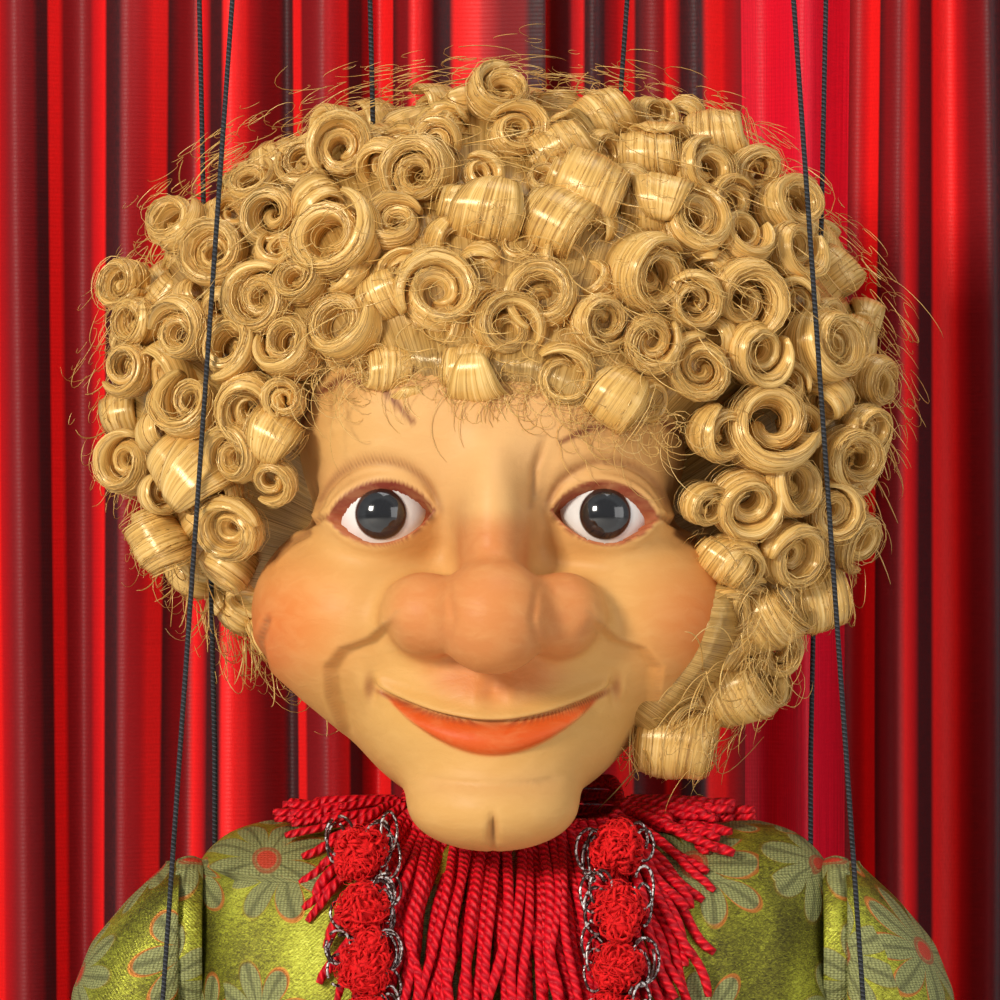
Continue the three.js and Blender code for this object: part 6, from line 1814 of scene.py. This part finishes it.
# A shoe's rows: height, half width and half length as shares, and how far back
SHOE_ROWS = np.array([
    (0, 0.9, 0.95, 0), (0.4, 0.95, 0.985, 0), (3.4, 0.96, 0.99, 0), (3.8, 0.93, 0.965, 0),
    (4.3, 0.95, 0.98, 0), (8, 0.98, 0.985, 0.3), (12, 0.92, 0.93, 1.2), (15, 0.82, 0.82, 3.6),
    (18, 0.74, 0.66, 8), (21, 0.69, 0.53, 12), (24, 0.66, 0.46, 14.4), (26.5, 0.65, 0.43, 15.2),
    (27.5, 0.62, 0.41, 15.3), (27.6, 0.5, 0.33, 15.2), (22, 0.42, 0.28, 15), (19, 0.3, 0.2, 15),
], float)
SHOE = {"wide": 13.5, "long": 31, "power": 2.35, "ahead": 13}


def shoe(tag, x, ground, leather):
    """Level rings of a superellipse: a welted sole, a rounded upper that rises to the instep, and its mouth
    round the ankle."""
    turn = circle(60)
    middle = PUPPET_Y - SHOE["ahead"]
    way = run_of(SHOE_ROWS * np.array([1, 12, 30, 0.3]))
    fine = smooth_line(SHOE_ROWS, way, 76)
    z, a, b, back = (fine[:, k:k + 1] for k in range(4))
    pinch = 1 - 0.16 * np.clip(np.sin(turn), 0, 1) * (z < 16)
    across = a * SHOE["wide"] * squared(np.cos(turn), SHOE["power"]) * pinch
    along = b * SHOE["long"] * squared(np.sin(turn), SHOE["power"])
    rings = np.stack([x + across, middle + back + along, ground + z + 0 * turn], 2)
    skin = woven(rolled(rings), 1.2, 1.0)
    build(f"leather_shoe_{tag}", skin, leather, f"shoe_{tag}", stands_for=f"shoe_{tag}")


# Woods: the grain's dark, middle and pale tones
OAK = ((0.06, 0.022, 0.007), (0.19, 0.08, 0.026), (0.32, 0.15, 0.05))
BEECH = ((0.36, 0.2, 0.08), (0.56, 0.34, 0.15), (0.68, 0.45, 0.22))
# Grain's direction: the axis it runs along
GRAIN = {"lengthwise": 0, "front_to_back": 1, "upright": 2}
# The model's own solids that are kept, by finish
KEPT = {
    "oak_lengthwise": ("base_board", "top_beam"),
    "oak_front_to_back": ("hanger_arm",),
    "beech_front_to_back": ("control_bar",),
    "beech_lengthwise": ("head_bar", "shoulder_bar", "hand_bar"),
    "beech_upright": ("trunk", "neck_peg", "upper_arm_left", "upper_arm_right", "forearm_left",
                      "forearm_right"),
    "steel": ("shoulder_axle", "hip_axle"),
}
FLOOR_HALF = 6


def woods_and_floor():
    """The model's own timbers, pins and hidden blocks get their finishes, the rest of the stand and the limbs
    are made, and all stands on a pale floor that fades into the backdrop with distance."""
    finishes = {}
    for way, axis in GRAIN.items():
        finishes["oak_" + way] = wood_finish("oak_" + way, *OAK, axis, 0.25)
        gloss = 0.05 if way == "upright" else 0.1
        finishes["beech_" + way] = wood_finish("beech_" + way, *BEECH, axis, gloss, 1.6)
    finishes["steel"] = metal_finish("drawn_steel", (0.4, 0.41, 0.42), (0.62, 0.63, 0.64), 0.3)
    brass = metal_finish("rubbed_brass", (0.6, 0.4, 0.12), (0.86, 0.62, 0.24), 0.22)
    rubber = plain_finish("black_rubber", (0.012, 0.012, 0.012), (0.03, 0.03, 0.029), 0.7, 900, 0.1)
    for finish, names in KEPT.items():
        for name in names:
            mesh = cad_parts[name].data
            mesh.materials.clear()
            mesh.materials.append(finishes[finish])
    posts(finishes["oak_upright"])
    fittings(brass, rubber)
    hands(flesh_finish())
    legs(cloth_finish("maroon_cloth", (0.045, 0.004, 0.008), (0.17, 0.012, 0.02), 0.5, 0.16),
         cloth_finish("white_knit", (0.55, 0.53, 0.48), (0.84, 0.82, 0.77), 0.32, 0.3),
         plain_finish("brown_leather", (0.02, 0.008, 0.004), (0.06, 0.024, 0.012), 0.36, 420, 0.12,
                      Coat_Weight=0.3, Coat_Roughness=0.25))
    ground = Finish("pale_floor", Base_Color=(0.78, 0.77, 0.75), Roughness=0.9)
    spot = ground.node("TexCoord").outputs["Object"]
    far = ground.node("VectorMath", {0: spot}, operation="LENGTH").outputs["Value"]
    edge = ground.ramp(ground.sum("DIVIDE", far, 3), [(0.2, 0.0), (0.62, 1.0)], "EASE")
    seen = ground.sum("MULTIPLY", edge, ground.node("LightPath").outputs["Is Camera Ray"])
    glow = ground.node("Emission", {"Color": BACKDROP, "Strength": 1.0}).outputs[0]
    both = ground.node("MixShader", {0: seen, 1: ground.shader.outputs[0], 2: glow}).outputs[0]
    ground.tree.links.new(both, ground.tree.nodes["Material Output"].inputs["Surface"])
    mesh = bpy.data.meshes.new("floor")
    corners = [(x * FLOOR_HALF, y * FLOOR_HALF, 0) for x, y in ((-1, -1), (1, -1), (1, 1), (-1, 1))]
    mesh.from_pydata(corners, [], [(0, 1, 2, 3)])
    mesh.materials.append(ground.material)
    floor = bpy.data.objects.new("floor", mesh)
    bpy.context.scene.collection.objects.link(floor)


camera()
lights()
strings()
head()
eyes()
brocade = brocade_finish()
jacket(brocade)
sleeves(brocade)
armholes(brocade)
neckband()
fringe()
pompoms()
curtains()
woods_and_floor()
wig()
